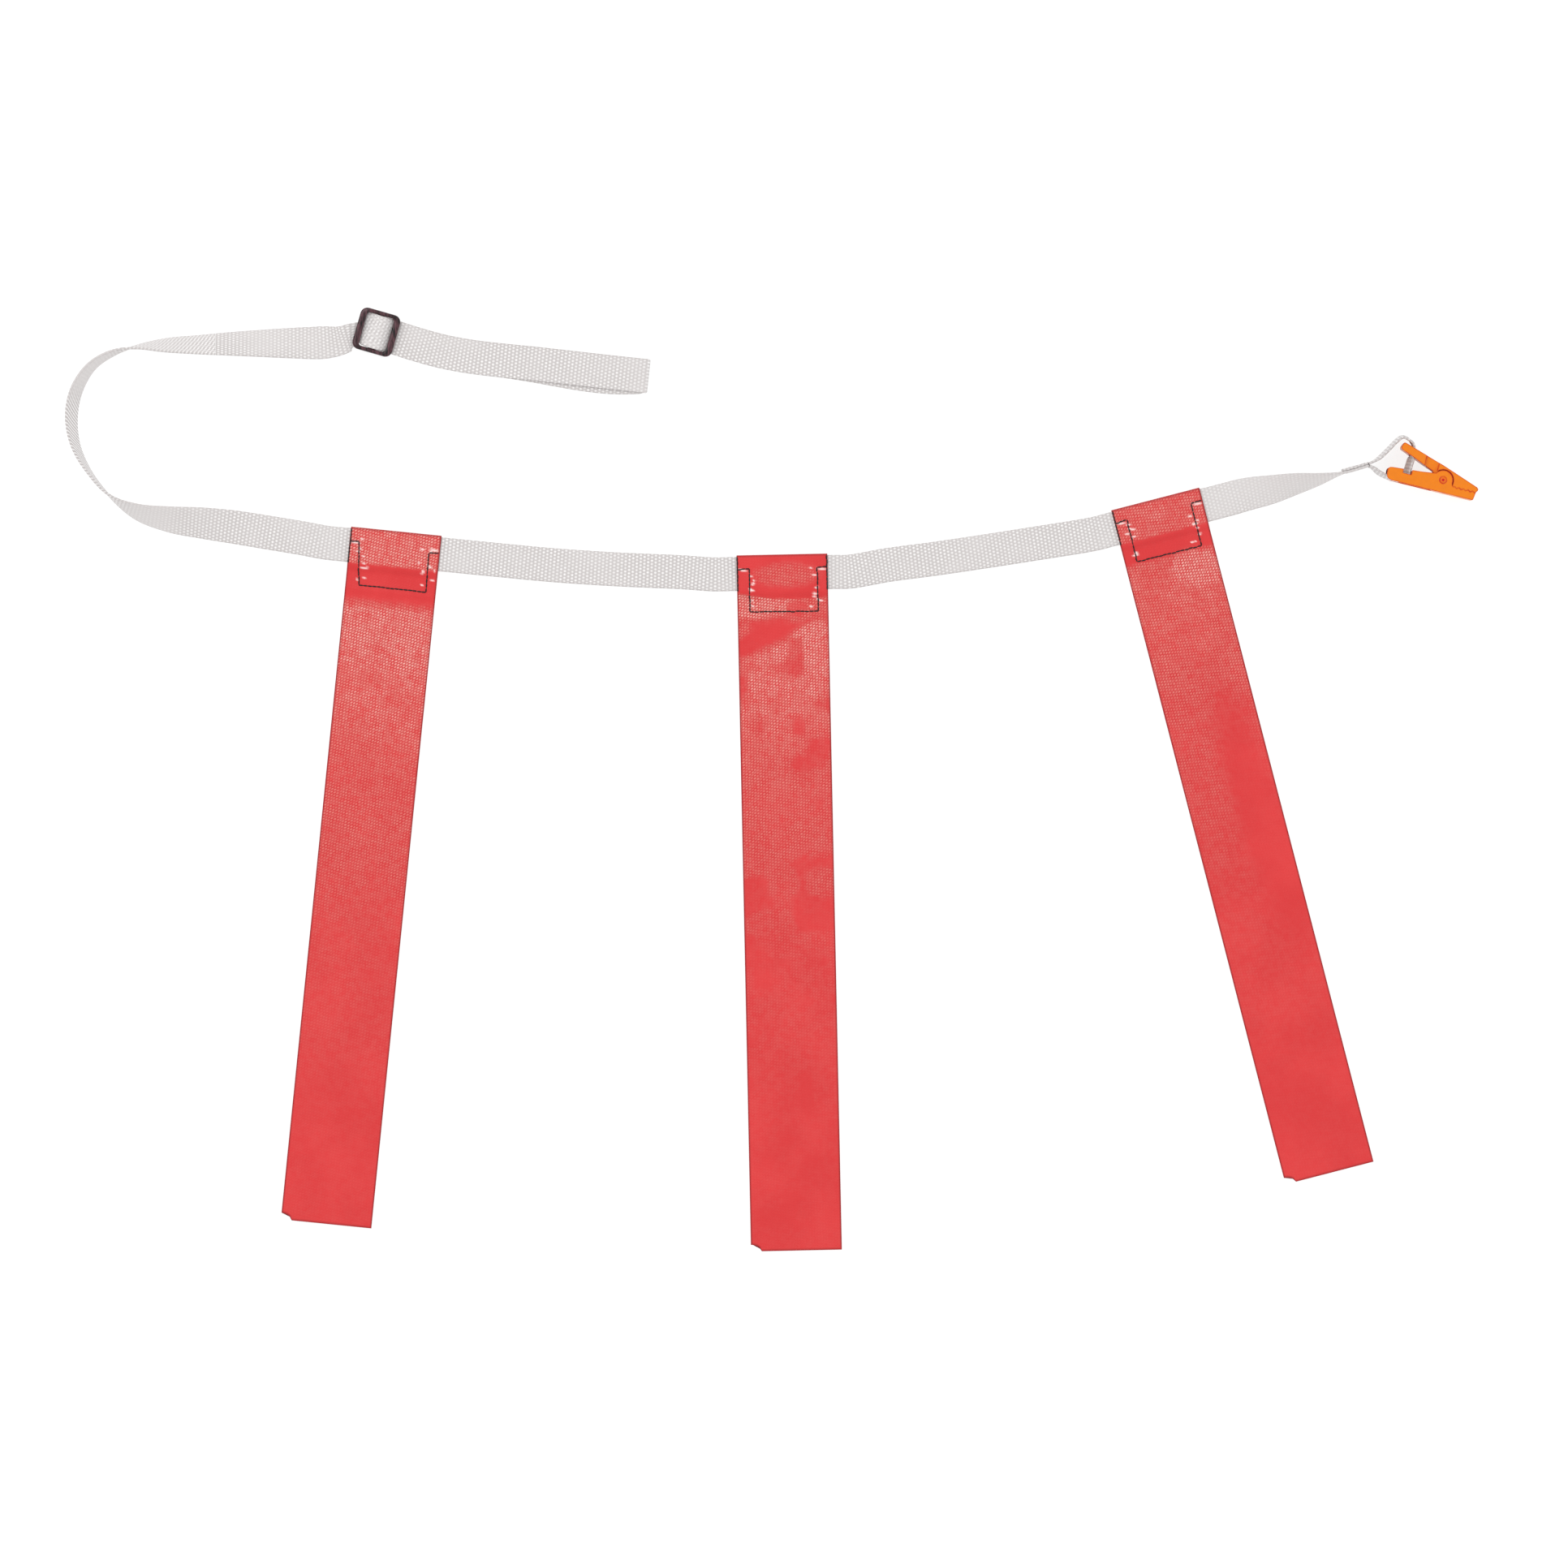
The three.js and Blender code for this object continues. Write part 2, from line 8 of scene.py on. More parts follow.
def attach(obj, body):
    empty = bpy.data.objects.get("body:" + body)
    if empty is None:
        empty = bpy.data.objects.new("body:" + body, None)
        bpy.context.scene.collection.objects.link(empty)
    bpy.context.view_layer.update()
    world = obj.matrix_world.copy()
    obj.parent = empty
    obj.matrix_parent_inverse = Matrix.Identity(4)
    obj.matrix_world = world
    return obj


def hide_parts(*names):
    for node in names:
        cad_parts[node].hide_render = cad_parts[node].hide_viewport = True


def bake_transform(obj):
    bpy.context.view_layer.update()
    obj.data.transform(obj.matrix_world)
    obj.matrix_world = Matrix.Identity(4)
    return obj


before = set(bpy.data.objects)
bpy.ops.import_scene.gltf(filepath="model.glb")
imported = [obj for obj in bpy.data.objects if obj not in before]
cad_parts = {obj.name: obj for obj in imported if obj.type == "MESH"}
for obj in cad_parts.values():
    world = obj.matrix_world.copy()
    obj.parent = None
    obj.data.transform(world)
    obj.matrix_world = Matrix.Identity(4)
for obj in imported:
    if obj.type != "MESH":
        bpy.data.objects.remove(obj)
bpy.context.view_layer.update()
mm = 0.001

scene = bpy.context.scene
scene.view_settings.view_transform = "Standard"

# what the whole belt shares
belt = {
    "width": 19.05,          # 3/4 in webbing
    "thick": 1.4,
    "flagWidth": 50.8,       # 2 in flags
    "flagLength": 389.0,
    "clothThick": 0.55,
    "slideCentre": (-220.3, 250.0),
    "slideTilt": -16.0,
    "clipPivot": (374.6, 167.1),
    "clipTilt": -13.9,
}
flags = [
    {"name": "flag_1", "fold": (-209.2, 139.0), "lean": -5.8, "belt": "belt_left"},
    {"name": "flag_2", "fold": (6.1, 126.0), "lean": 1.2, "belt": "belt_center"},
    {"name": "flag_3", "fold": (214.6, 157.0), "lean": 14.5, "belt": "belt_right"},
]


# smooth step: 0 below low, 1 above high, 3t^2 - 2t^3 between
def ease(value, low, high):
    t = np.clip((np.asarray(value, float) - low) / (high - low), 0, 1)
    return t * t * (3 - 2 * t)


# the distance walked along a row of points, up to each of them
def walkedOn(points):
    return np.concatenate([[0], np.cumsum(np.linalg.norm(np.diff(points, axis=0), axis=1))])


# cosine and sine of an angle in degrees
def cosSin(degrees):
    return math.cos(math.radians(degrees)), math.sin(math.radians(degrees))


# a point or array given in a turned frame, moved to the belt's frame: place + x * right + y * up
def turned(place, degrees, x, y):
    c, s = cosSin(degrees)
    x, y = np.asarray(x), np.asarray(y)
    return place[0] + x * c - y * s, place[1] + x * s + y * c


# a route point on the slide's own middle line, x along it
def slidePoint(x, lift=0.0):
    px, py = turned(belt["slideCentre"], belt["slideTilt"], x, 0)
    return (float(px), float(py), 0.0, lift)


# four points in line through a flag's sleeve, so the webbing is straight inside it
def sleevePoints(flag):
    drop = 0.9 + belt["width"] / 2
    rows = []
    for d in (38, 27, -27, -38):
        px, py = turned(flag["fold"], flag["lean"], d, -drop)
        rows.append((float(px), float(py), 0.0, 0.9 if abs(d) < 30 else 0.4))
    return rows


# the webbing's route from the clip end to the tail: x, y, roll in degrees, lift off the floor
routePoints = [
    (333.3, 175.2, 90, 2), (319.7, 171.4, 90, 1.5), (306.1, 167.8, 72, 1), (292.5, 165.1, 52, 0),
    (278.9, 162.0, 33, 0), (265.3, 159.4, 14, 0),
    *sleevePoints(flags[2]),
    (145, 131.6, 0, 0), (118, 127.4, 0, 0), (90.7, 123.4, 0, 0), (65, 120.0, 0, 0),
    *sleevePoints(flags[1]),
    (-49.9, 116.0, 0, 0), (-86.2, 117.6, 0, 0), (-122.4, 120.0, 0, 0), (-145, 122.1, 0, 0),
    *sleevePoints(flags[0]),
    (-263.0, 135.2, 4, 0), (-281.2, 138.2, 6, 0), (-299.3, 141.1, 12, 0), (-317.5, 143.4, 25, 0),
    (-335.6, 145.4, 42, 0), (-353.7, 149.6, 64, 0), (-369.0, 158.5, 88, 0), (-380.6, 172.0, 95, 0),
    (-388.2, 187.0, 102, 0), (-390.4, 203.0, 107, 0), (-387.4, 218.0, 107, 0), (-379.0, 231.0, 102, 0),
    (-367.0, 238.4, 96, 0), (-354.0, 241.6, 84, 0), (-337.9, 242.6, 66, 0), (-319.7, 242.9, 56, 0),
    (-301.6, 243.4, 46, 0), (-283.4, 243.9, 36, 0), (-265.3, 244.6, 24, 0.2), (-250.0, 247.2, 10, 0.8),
    slidePoint(-12, 1.85), slidePoint(0, 1.85), slidePoint(12, 1.85),
    (-200.0, 243.9, 0, 1.85), (-183.7, 239.4, 0, 1.85), (-165.5, 236.1, 0, 1.85), (-129.3, 232.2, 0, 1.85),
    (-93.0, 228.1, 0, 1.85), (-68.0, 225.4, 0, 1.85),
]


# centripetal Catmull-Rom through the rows: a cubic between each pair, its slopes from the four points
# around it with knots spaced by the square root of the distance between them
def smoothPath(rows, stepsEach=40):
    p = np.array(rows, float)
    p = np.vstack([2 * p[0] - p[1], p, 2 * p[-1] - p[-2]])
    gaps = np.maximum(np.linalg.norm(np.diff(p[:, :2], axis=0), axis=1) ** 0.5, 1e-4)[:, None]
    p0, p1, p2, p3 = p[:-3], p[1:-2], p[2:-1], p[3:]
    g0, g1, g2 = gaps[:-2], gaps[1:-1], gaps[2:]
    m1 = ((p1 - p0) / g0 - (p2 - p0) / (g0 + g1) + (p2 - p1) / g1) * g1
    m2 = ((p2 - p1) / g1 - (p3 - p1) / (g1 + g2) + (p3 - p2) / g2) * g1
    t = (np.arange(stepsEach) / stepsEach)[None, :, None]
    p1, p2, m1, m2 = (v[:, None, :] for v in (p1, p2, m1, m2))
    curve = (2 * t**3 - 3 * t**2 + 1) * p1 + (t**3 - 2 * t**2 + t) * m1
    curve = curve + (3 * t**2 - 2 * t**3) * p2 + (t**3 - t**2) * m2
    return np.vstack([curve.reshape(-1, p.shape[1]), p[-2]])


# how far along a smoothed line each of its points is, seen from above
def walkedAlong(line):
    return walkedOn(line[:, :2])


route = smoothPath(routePoints)
routeDistance = walkedAlong(route)
routeEnd = routeDistance[-1]


# the route's distance at the point nearest to a place
def distanceNear(x, y):
    return float(routeDistance[np.argmin(np.hypot(route[:, 0] - x, route[:, 1] - y))])


# centre, width direction and face direction of the webbing at each distance:
# width = cos(roll) inward + sin(roll) up, face = cos(roll) up - sin(roll) inward
def webbingFrames(distance, sideways=0.0, line=route, walked=routeDistance):
    x, y, roll, own = (np.interp(distance, walked, line[:, k]) for k in range(4))
    along = np.stack([np.gradient(x, distance), np.gradient(y, distance)], 1)
    along /= np.linalg.norm(along, axis=1)[:, None]
    inward = np.stack([along[:, 1], -along[:, 0], np.zeros(len(x))], 1)
    up = np.array([0.0, 0.0, 1.0])
    c, s = np.cos(np.radians(roll))[:, None], np.sin(np.radians(roll))[:, None]
    across = c * inward + s * up
    face = c * up - s * inward
    height = (belt["width"] * np.abs(s[:, 0]) + belt["thick"] * np.abs(c[:, 0])) / 2 + own
    centre = np.stack([x, y, height], 1) + inward * np.broadcast_to(sideways, x.shape)[:, None]
    return centre, across, face


# a mesh from grids of points, (grids x) rows x columns: each cell is a quad, the last column meets the
# first, and each end is closed by one face. uv holds metres, with one more column than the points
def gridMesh(name, points, uv, material, closedEnds=True):
    if points.ndim == 3:
        points, uv = points[None], uv[None]
    count, rows, columns = points.shape[:3]
    index = np.arange(count * rows * columns).reshape(count, rows, columns)
    cells = np.concatenate([index, index[:, :, :1]], 2)
    quads = np.stack([cells[:, :-1, :-1], cells[:, :-1, 1:], cells[:, 1:, 1:], cells[:, 1:, :-1]], -1)
    corners = np.stack([uv[:, :-1, :-1], uv[:, :-1, 1:], uv[:, 1:, 1:], uv[:, 1:, :-1]], 3).reshape(-1, 2)
    loops = quads.ravel()
    sizes = np.full(len(loops) // 4, 4)
    if closedEnds:
        loops = np.concatenate([loops, index[:, 0, ::-1].ravel(), index[:, -1].ravel()])
        sizes = np.concatenate([sizes, np.full(2 * count, columns)])
        corners = np.vstack([corners, uv[:, 0, :-1][:, ::-1].reshape(-1, 2), uv[:, -1, :-1].reshape(-1, 2)])
    mesh = bpy.data.meshes.new(name)
    mesh.vertices.add(index.size)
    mesh.vertices.foreach_set("co", points.ravel())
    mesh.loops.add(len(loops))
    mesh.loops.foreach_set("vertex_index", loops)
    mesh.polygons.add(len(sizes))
    mesh.polygons.foreach_set("loop_start", np.concatenate([[0], np.cumsum(sizes)[:-1]]))
    mesh.update(calc_edges=True)
    mesh.uv_layers.new(name="lay").data.foreach_set("uv", corners.ravel())
    piece = finished(name, mesh, material)
    if closedEnds:
        sharpEnds(piece, rows, columns)
    return piece


# a hard edge round each closed end, so the shading doesn't turn over it
def sharpEnds(piece, rows, columns):
    mesh = piece.data
    pairs = np.empty(2 * len(mesh.edges), int)
    mesh.edges.foreach_get("vertices", pairs)
    row = pairs.reshape(-1, 2) // columns % rows
    onEnd = ((row == 0) | (row == rows - 1)).all(1)
    mesh.edges.foreach_set("use_edge_sharp", onEnd)
    sizes = np.empty(len(mesh.polygons), int)
    mesh.polygons.foreach_get("loop_total", sizes)
    mesh.polygons.foreach_set("use_smooth", sizes <= 4)


# puts a mesh into the scene, smooth, its faces outwards, its material on
def finished(name, mesh, material, flip=True):
    if flip:
        work = bmesh.new()
        work.from_mesh(mesh)
        bmesh.ops.recalc_face_normals(work, faces=work.faces)
        if work.calc_volume(signed=True) < 0:
            bmesh.ops.reverse_faces(work, faces=work.faces)
        work.to_mesh(mesh)
        work.free()
    mesh.validate()
    mesh.shade_smooth()
    piece = bpy.data.objects.new(name, mesh)
    scene.collection.objects.link(piece)
    mesh.materials.append(material)
    return piece


# a closed band's section: a rectangle width x thick whose ends are half ellipses, walked once round from
# the middle of its face; gives offsets across and up, and the distance walked
def bandSection(width, thick, flatCount=14, endCount=5):
    half, r = width / 2, thick / 2
    end = min(r * 1.15, half)
    flat = np.linspace(-(half - end), half - end, flatCount)
    turn = np.linspace(np.pi / 2, -np.pi / 2, endCount + 2)[1:-1]
    endAcross = half - end + end * np.cos(turn)
    endUp = r * np.sin(turn)
    across = np.concatenate([flat, endAcross, flat[::-1], -endAcross])
    up = np.concatenate([np.full(flatCount, r), endUp, np.full(flatCount, -r), -endUp])
    closed = np.stack([np.append(across, across[0]), np.append(up, up[0])], 1)
    walked = walkedOn(closed)
    return across, up, walked - half + end


# unit vectors along a line of points, from the differences each side of a point
def alongOf(points):
    along = np.gradient(points, axis=0)
    return along / np.linalg.norm(along, axis=1)[:, None]


# a number for each point of a piece, which its finish reads
def marked(piece, kind, amount):
    piece.data.attributes.new(kind, "FLOAT", "POINT").data.foreach_set("value", amount.ravel())


# webbing carried along a centre line: point + across * a * narrowing + face * b, where (a, b) walks the
# section and face = across x along; the painted-shade mask and dashed hold a number for each row
def webbing(name, centre, across, start=0.0, narrowing=None, tiltShade=None, dashed=None):
    sectionAcross, sectionUp, walked = bandSection(belt["width"], belt["thick"])
    along = alongOf(centre)
    face = np.cross(across, along)
    face /= np.linalg.norm(face, axis=1)[:, None]
    narrow = np.ones(len(centre)) if narrowing is None else narrowing
    points = centre[:, None] + across[:, None] * (sectionAcross * narrow[:, None])[..., None]
    points = points + face[:, None] * sectionUp[:, None]
    gone = start + walkedOn(centre)
    uv = np.stack(np.broadcast_arrays(gone[:, None], walked[None, :]), -1) * mm
    piece = gridMesh(name, points * mm, uv, webbingLook)
    for kind, amount in (("tiltShade", tiltShade), ("dashed", dashed)):
        rows = np.zeros(len(centre)) if amount is None else amount
        marked(piece, kind, np.repeat(rows, len(sectionUp)))
    return piece


# a piece on one body, standing for one CAD node, which it hides
def settled(piece, body, node):
    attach(piece, body)
    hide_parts(node)


# a round bar carried along a line: centre + radius * (cos a * side + sin a * up)
def rod(name, line, radius, material, sides=12):
    along = alongOf(line)
    side = np.cross(along, np.array([0.0, 0.0, 1.0]))
    side /= np.linalg.norm(side, axis=1)[:, None]
    up = np.cross(side, along)
    turn = np.linspace(0, 2 * np.pi, sides, endpoint=False)
    ring = np.cos(turn)[:, None] * side[:, None] + np.sin(turn)[:, None] * up[:, None]
    points = line[:, None] + radius * ring
    uv = np.zeros((len(line), sides + 1, 2))
    return gridMesh(name, points * mm, uv, material)


# many short stitches, each from a start to an end: centre + along * t * half + (cos a * side + sin a * up)
# * radius * swell(t) - up * sink * t^2, so both ends dive into the cloth
def stitches(name, starts, ends, radius, material, sink=0.25):
    t = np.array([-1.0, -0.8, -0.35, 0.35, 0.8, 1.0])
    swell = np.array([0.35, 0.8, 1.0, 1.0, 0.8, 0.35]) * radius
    turn = np.linspace(0, 2 * np.pi, 6, endpoint=False)
    middle = (starts + ends) / 2
    half = (ends - starts) / 2
    along = half / np.linalg.norm(half, axis=1)[:, None]
    side = np.cross(along, np.array([0.0, 0.0, 1.0]) + 0 * along)
    upright = np.linalg.norm(side, axis=1) < 0.05
    side[upright] = np.array([1.0, 0.0, 0.0])
    side /= np.linalg.norm(side, axis=1)[:, None]
    up = np.cross(side, along)
    ring = np.cos(turn)[:, None] * side[:, None] + np.sin(turn)[:, None] * up[:, None]
    points = middle[:, None, None] + half[:, None, None] * t[:, None, None]
    points = points + ring[:, None] * swell[:, None, None] - up[:, None, None] * (sink * t**2)[:, None, None]
    return gridMesh(name, points * mm, np.zeros((*points.shape[:2], len(turn) + 1, 2)), material)


# stitches end to end along a line of points, each a little short of its share of the line
def stitchLine(points, pitch=2.5, gap=-0.08):
    points = np.array(points, float)
    walked = walkedOn(points)
    count = max(1, round(walked[-1] / pitch))
    edges = np.linspace(0, walked[-1], count + 1)
    room = gap * pitch
    starts, ends = edges[:-1] + room / 2, edges[1:] - room / 2
    return tuple(np.stack([np.interp(d, walked, points[:, k]) for k in range(3)], 1) for d in (starts, ends))


# smooth noise 0 to 1: seeded numbers on a lattice of the given size, blended with smooth steps
def softNoise(x, y, size, seed):
    lattice = np.random.default_rng(seed).random((96, 96))
    x, y = np.asarray(x) / size + 40.3, np.asarray(y) / size + 40.7
    i, j = np.floor(x).astype(int), np.floor(y).astype(int)
    u, v = ease(x - i, 0, 1), ease(y - j, 0, 1)
    i, j = i % 95, j % 95
    low = lattice[i, j] * (1 - u) + lattice[i + 1, j] * u
    high = lattice[i, j + 1] * (1 - u) + lattice[i + 1, j + 1] * u
    return low * (1 - v) + high * v


# a soft oval patch: 1 inside, falling to 0 at its turned outline
def patch(x, y, place, radii, degrees=0.0, soft=0.45):
    c, s = cosSin(degrees)
    u, v = (x - place[0]) * c + (y - place[1]) * s, (y - place[1]) * c - (x - place[0]) * s
    return 1 - ease(np.hypot(u / radii[0], v / radii[1]), 1 - soft, 1 + soft)


# one output socket, with arithmetic that adds the math nodes
class Wire:
    def __init__(self, tree, socket):
        self.tree, self.socket = tree, socket

    def math(self, operation, *others, first=None):
        node = self.tree.nodes.new("ShaderNodeMath")
        node.operation = operation
        values = [self if first is None else first, *others]
        for slotAt, value in enumerate(values):
            if isinstance(value, Wire):
                self.tree.links.new(value.socket, node.inputs[slotAt])
            else:
                node.inputs[slotAt].default_value = value
        return Wire(self.tree, node.outputs[0])

    def __add__(self, other):
        return self.math("ADD", other)

    def __radd__(self, other):
        return self.math("ADD", other)

    def __sub__(self, other):
        return self.math("SUBTRACT", other)

    def __rsub__(self, other):
        return self.math("SUBTRACT", self, first=other)

    def __mul__(self, other):
        return self.math("MULTIPLY", other)

    def __rmul__(self, other):
        return self.math("MULTIPLY", other)

    def __truediv__(self, other):
        return self.math("DIVIDE", other)


# one material: its nodes are made by short calls, constants are set on the shader's sockets
class Finish:
    def __init__(self, name, roughness=0.6, **sockets):
        self.material = bpy.data.materials.new(name)
        self.material.use_nodes = True
        self.tree = self.material.node_tree
        self.shader = self.tree.nodes["Principled BSDF"]
        self.shader.inputs["Roughness"].default_value = roughness
        for socket, value in sockets.items():
            self.shader.inputs[socket.replace("_", " ")].default_value = value

    # any node: its settings first, then values or links for its sockets, then the output asked for
    def node(self, kind, settings=None, out=0, **sockets):
        node = self.tree.nodes.new("ShaderNode" + kind)
        for setting, value in (settings or {}).items():
            setattr(node, setting, value)
        for socket, value in sockets.items():
            key = int(socket[2:]) if socket.startswith("at") else socket.replace("_", " ")
            if isinstance(value, Wire):
                self.tree.links.new(value.socket, node.inputs[key])
            else:
                node.inputs[key].default_value = value
        return Wire(self.tree, node.outputs[out])

    def mix(self, factor, first, second, blend="MIX"):
        settings = {"data_type": "RGBA", "blend_type": blend, "clamp_factor": True}
        first, second = (c if isinstance(c, Wire) else (*c, 1.0) for c in (first, second))
        return self.node("Mix", settings, out=2, at0=factor, at6=first, at7=second)

    def step(self, value, low, high, fromValue=0.0, toValue=1.0):
        settings = {"interpolation_type": "SMOOTHSTEP"}
        return self.node("MapRange", settings, at0=value, at1=low, at2=high, at3=fromValue, at4=toValue)

    def noise(self, where, scale, detail=2.0, roughness=0.5):
        return self.node("TexNoise", {}, out=0, Vector=where, Scale=scale, Detail=detail, Roughness=roughness)

    def objectPlace(self):
        return self.node("TexCoord", out=3)

    def lay(self):
        return self.node("UVMap", {"uv_map": "lay"})

    def attribute(self, name):
        return self.node("Attribute", {"attribute_name": name}, out=2)

    def parts(self, vector):
        node = self.tree.nodes.new("ShaderNodeSeparateXYZ")
        self.tree.links.new(vector.socket, node.inputs[0])
        return [Wire(self.tree, socket) for socket in node.outputs]

    # rows of little round crowns, every second row moved half a step, and a number of its own for each one
    def crowns(self, along, across, pitchAlong, pitchAcross):
        row = across / pitchAcross
        step = along / pitchAlong + row.math("FLOOR").math("MODULO", 2.0).math("ABSOLUTE") * 0.5
        u, v = step.math("FRACT") - 0.5, row.math("FRACT") - 0.5
        away = (u * u + v * v).math("SQRT")
        place = self.node("CombineXYZ", X=step.math("FLOOR"), Y=row.math("FLOOR"))
        own = self.node("TexWhiteNoise", {"noise_dimensions": "2D"}, Vector=place)
        return self.step(away, 0.52, 0.06), own

    def feeds(self, **links):
        for socket, value in links.items():
            self.tree.links.new(value.socket, self.shader.inputs[socket.replace("_", " ")])
        return self.material

    def bump(self, height, distance, strength=1.0):
        return self.node("Bump", {}, Height=height, Distance=distance, Strength=strength)


# a screen colour as the shader wants it: linear, from 0-255 steps
def shade(red, green, blue):
    value = np.array([red, green, blue]) / 255
    return tuple(np.where(value <= 0.04045, value / 12.92, ((value + 0.055) / 1.055) ** 2.4).tolist())


# finishes

# the darkest grey is painted shade along the band's edges; the smooth grey also fills the painted-shade
# stretches without crowns
weave = {
    "pitchAlong": 0.0021,
    "pitchAcross": 0.0019,
    "halfRound": 0.02005,     # half the distance round the section
    "ground": shade(192, 187, 186),
    "crown": shade(244, 242, 241),
    "paintedShade": shade(176, 169, 168),
    "smooth": shade(214, 210, 209),
}


# woven polyester: crowns in staggered rows, paler than the ground, fainter in places at random; painted
# shade: plain grey stretches without crowns where the face turns away from the light
def webbingFinish():
    look = Finish("beltWebbing", 0.72, Specular_IOR_Level=0.3, Sheen_Weight=0.15, Sheen_Roughness=0.5)
    along, across, _ = look.parts(look.lay())
    crown, own = look.crowns(across, along, weave["pitchAcross"], weave["pitchAlong"])
    crown = crown * (0.7 + own * 0.3)
    slant = ((along + across * 0.45) / weave["pitchAlong"]).math("FRACT") - 0.5
    dashes = look.step(slant.math("ABSOLUTE"), 0.32, 0.1)
    dashed = look.attribute("dashed")
    crown = crown * (1.0 - dashed) + dashes * dashed
    thread, _ = look.crowns(along, across, weave["pitchAlong"] / 3, weave["pitchAcross"] / 3)
    cloudy = look.noise(look.objectPlace(), 22.0, 2.0)
    # painted shade: where this mask is set, the crowns are left out and plain grey shows
    tiltShade = look.attribute("tiltShade")
    shows = look.step(cloudy, 0.28, 0.55, 0.55, 1.0) * (1.0 - tiltShade)
    colour = look.mix(shows, weave["smooth"], weave["ground"])
    colour = look.mix(crown * shows, colour, weave["crown"])
    # painted shade: darker grey along the band's two edges
    fromMiddle = (across / weave["halfRound"] + 0.5).math("FRACT") - 0.5     # 0 mid face, half at an edge
    edge = look.step(fromMiddle.math("ABSOLUTE"), 0.435, 0.48)
    colour = look.mix(edge * 0.3, colour, weave["paintedShade"])
    height = crown * (shows * 0.8 + 0.2) + thread * 0.25
    return look.feeds(
        Base_Color=colour,
        Roughness=0.78 - crown * 0.12,
        Normal=look.bump(height, 0.00022, 0.7),
    )


# painted sheen and shade on the flags: the haze and both crown colours are painted highlights, the groove
# colour is painted shade in the weave's grooves, the edge colour is painted shade along the cut edges and the
# fold, and the fleck colour is painted highlights beside the seams
cloth = {
    "ribTurn": math.radians(40),      # the ribs climb to the right
    "pitchAlong": 0.0021,
    "pitchAcross": 0.00122,
    "ground": shade(208, 44, 46),
    "groundPale": shade(215, 52, 53),
    "sheenHaze": shade(210, 110, 104),
    "crown": shade(228, 132, 120),
    "crownHighlight": shade(246, 192, 180),
    "paintedShade": shade(188, 26, 34),
    "edge": shade(150, 16, 20),
    "highlightFleck": shade(255, 240, 236),
}


# coated mesh cloth: fine slanting ribs of crowns; painted sheen in patches: pale highlights on the crowns, a
# pink haze, and painted shade in the grooves between them
def flagFinish():
    look = Finish("flagCloth", 0.5, Specular_IOR_Level=0.35, Coat_Roughness=0.35)
    across, down, _ = look.parts(look.lay())
    c, s = math.cos(cloth["ribTurn"]), math.sin(cloth["ribTurn"])
    wobble = look.noise(look.objectPlace(), 240.0, 2.0) * 0.0011
    along, over = across * c - down * s + wobble, across * s + down * c + wobble
    crown, own = look.crowns(along, over, cloth["pitchAlong"], cloth["pitchAcross"])
    paintedSheen = look.attribute("paintedSheen")
    grain = look.noise(look.objectPlace(), 330.0, 3.0)
    tone = look.noise(look.objectPlace(), 30.0, 3.0)
    ground = look.mix(look.step(tone, 0.35, 0.7), cloth["ground"], cloth["groundPale"])
    # painted sheen: a pink haze in the sheen patches
    sheenHaze = paintedSheen * look.step(grain, 0.34, 0.62, 0.12, 0.95)
    colour = look.mix(sheenHaze * 0.9, ground, cloth["sheenHaze"])
    # painted shade: darker grooves between the crowns within the sheen patches
    paintedShade = (1.0 - crown) * look.step(paintedSheen, 0.0, 0.5, 0.12, 0.7) * (0.5 + own * 0.5)
    colour = look.mix(paintedShade, colour, cloth["paintedShade"])
    # painted highlights on the crowns, brightest where the sheen is strongest
    highlightColour = look.mix(look.step(paintedSheen, 0.6, 1.15), cloth["crown"], cloth["crownHighlight"])
    colour = look.mix(crown * look.step(paintedSheen, 0.02, 0.75) * (0.45 + own * 0.55), colour, highlightColour)
    # painted highlights: pale flecks beside the seams
    colour = look.mix(look.attribute("highlightFleck"), colour, cloth["highlightFleck"])
    # painted shade: darker red along the cut edges and the fold
    colour = look.mix(look.attribute("rim"), colour, cloth["edge"])
    height = crown * look.step(paintedSheen, 0.0, 0.6, 0.3, 1.0)
    return look.feeds(
        Base_Color=colour,
        Roughness=look.step(paintedSheen, 0.0, 1.0, 0.42, 0.6),
        Normal=look.bump(height, 0.00018, 0.8),
    )


# sewing thread, lighter and darker where it is wound
def threadFinish(name, dark, light):
    look = Finish(name, 0.55, Specular_IOR_Level=0.4)
    wound = look.noise(look.objectPlace(), 2600.0, 1.0)
    return look.feeds(
        Base_Color=look.mix(wound, dark, light),
        Normal=look.bump(wound, 0.00005),
    )


# moulded dark plastic with painted highlight streaks, pinkish brown on near black
def slideFinish():
    look = Finish("slidePlastic", 0.22, Specular_IOR_Level=0.35, Coat_Weight=0.0)
    own = look.objectPlace()
    place = look.node("Mapping", {}, Vector=own, Rotation=(0, 0, 0.28), Scale=(1.0, 0.2, 1.0))
    plasticNoise = look.noise(place, 950.0, 4.0)
    return look.feeds(
        Base_Color=look.mix(look.step(plasticNoise, 0.3, 0.75), shade(5, 2, 3), shade(92, 54, 62)),
        Roughness=look.step(plasticNoise, 0.2, 0.8, 0.16, 0.34),
        Normal=look.bump(plasticNoise, 0.00006, 0.5),
    )


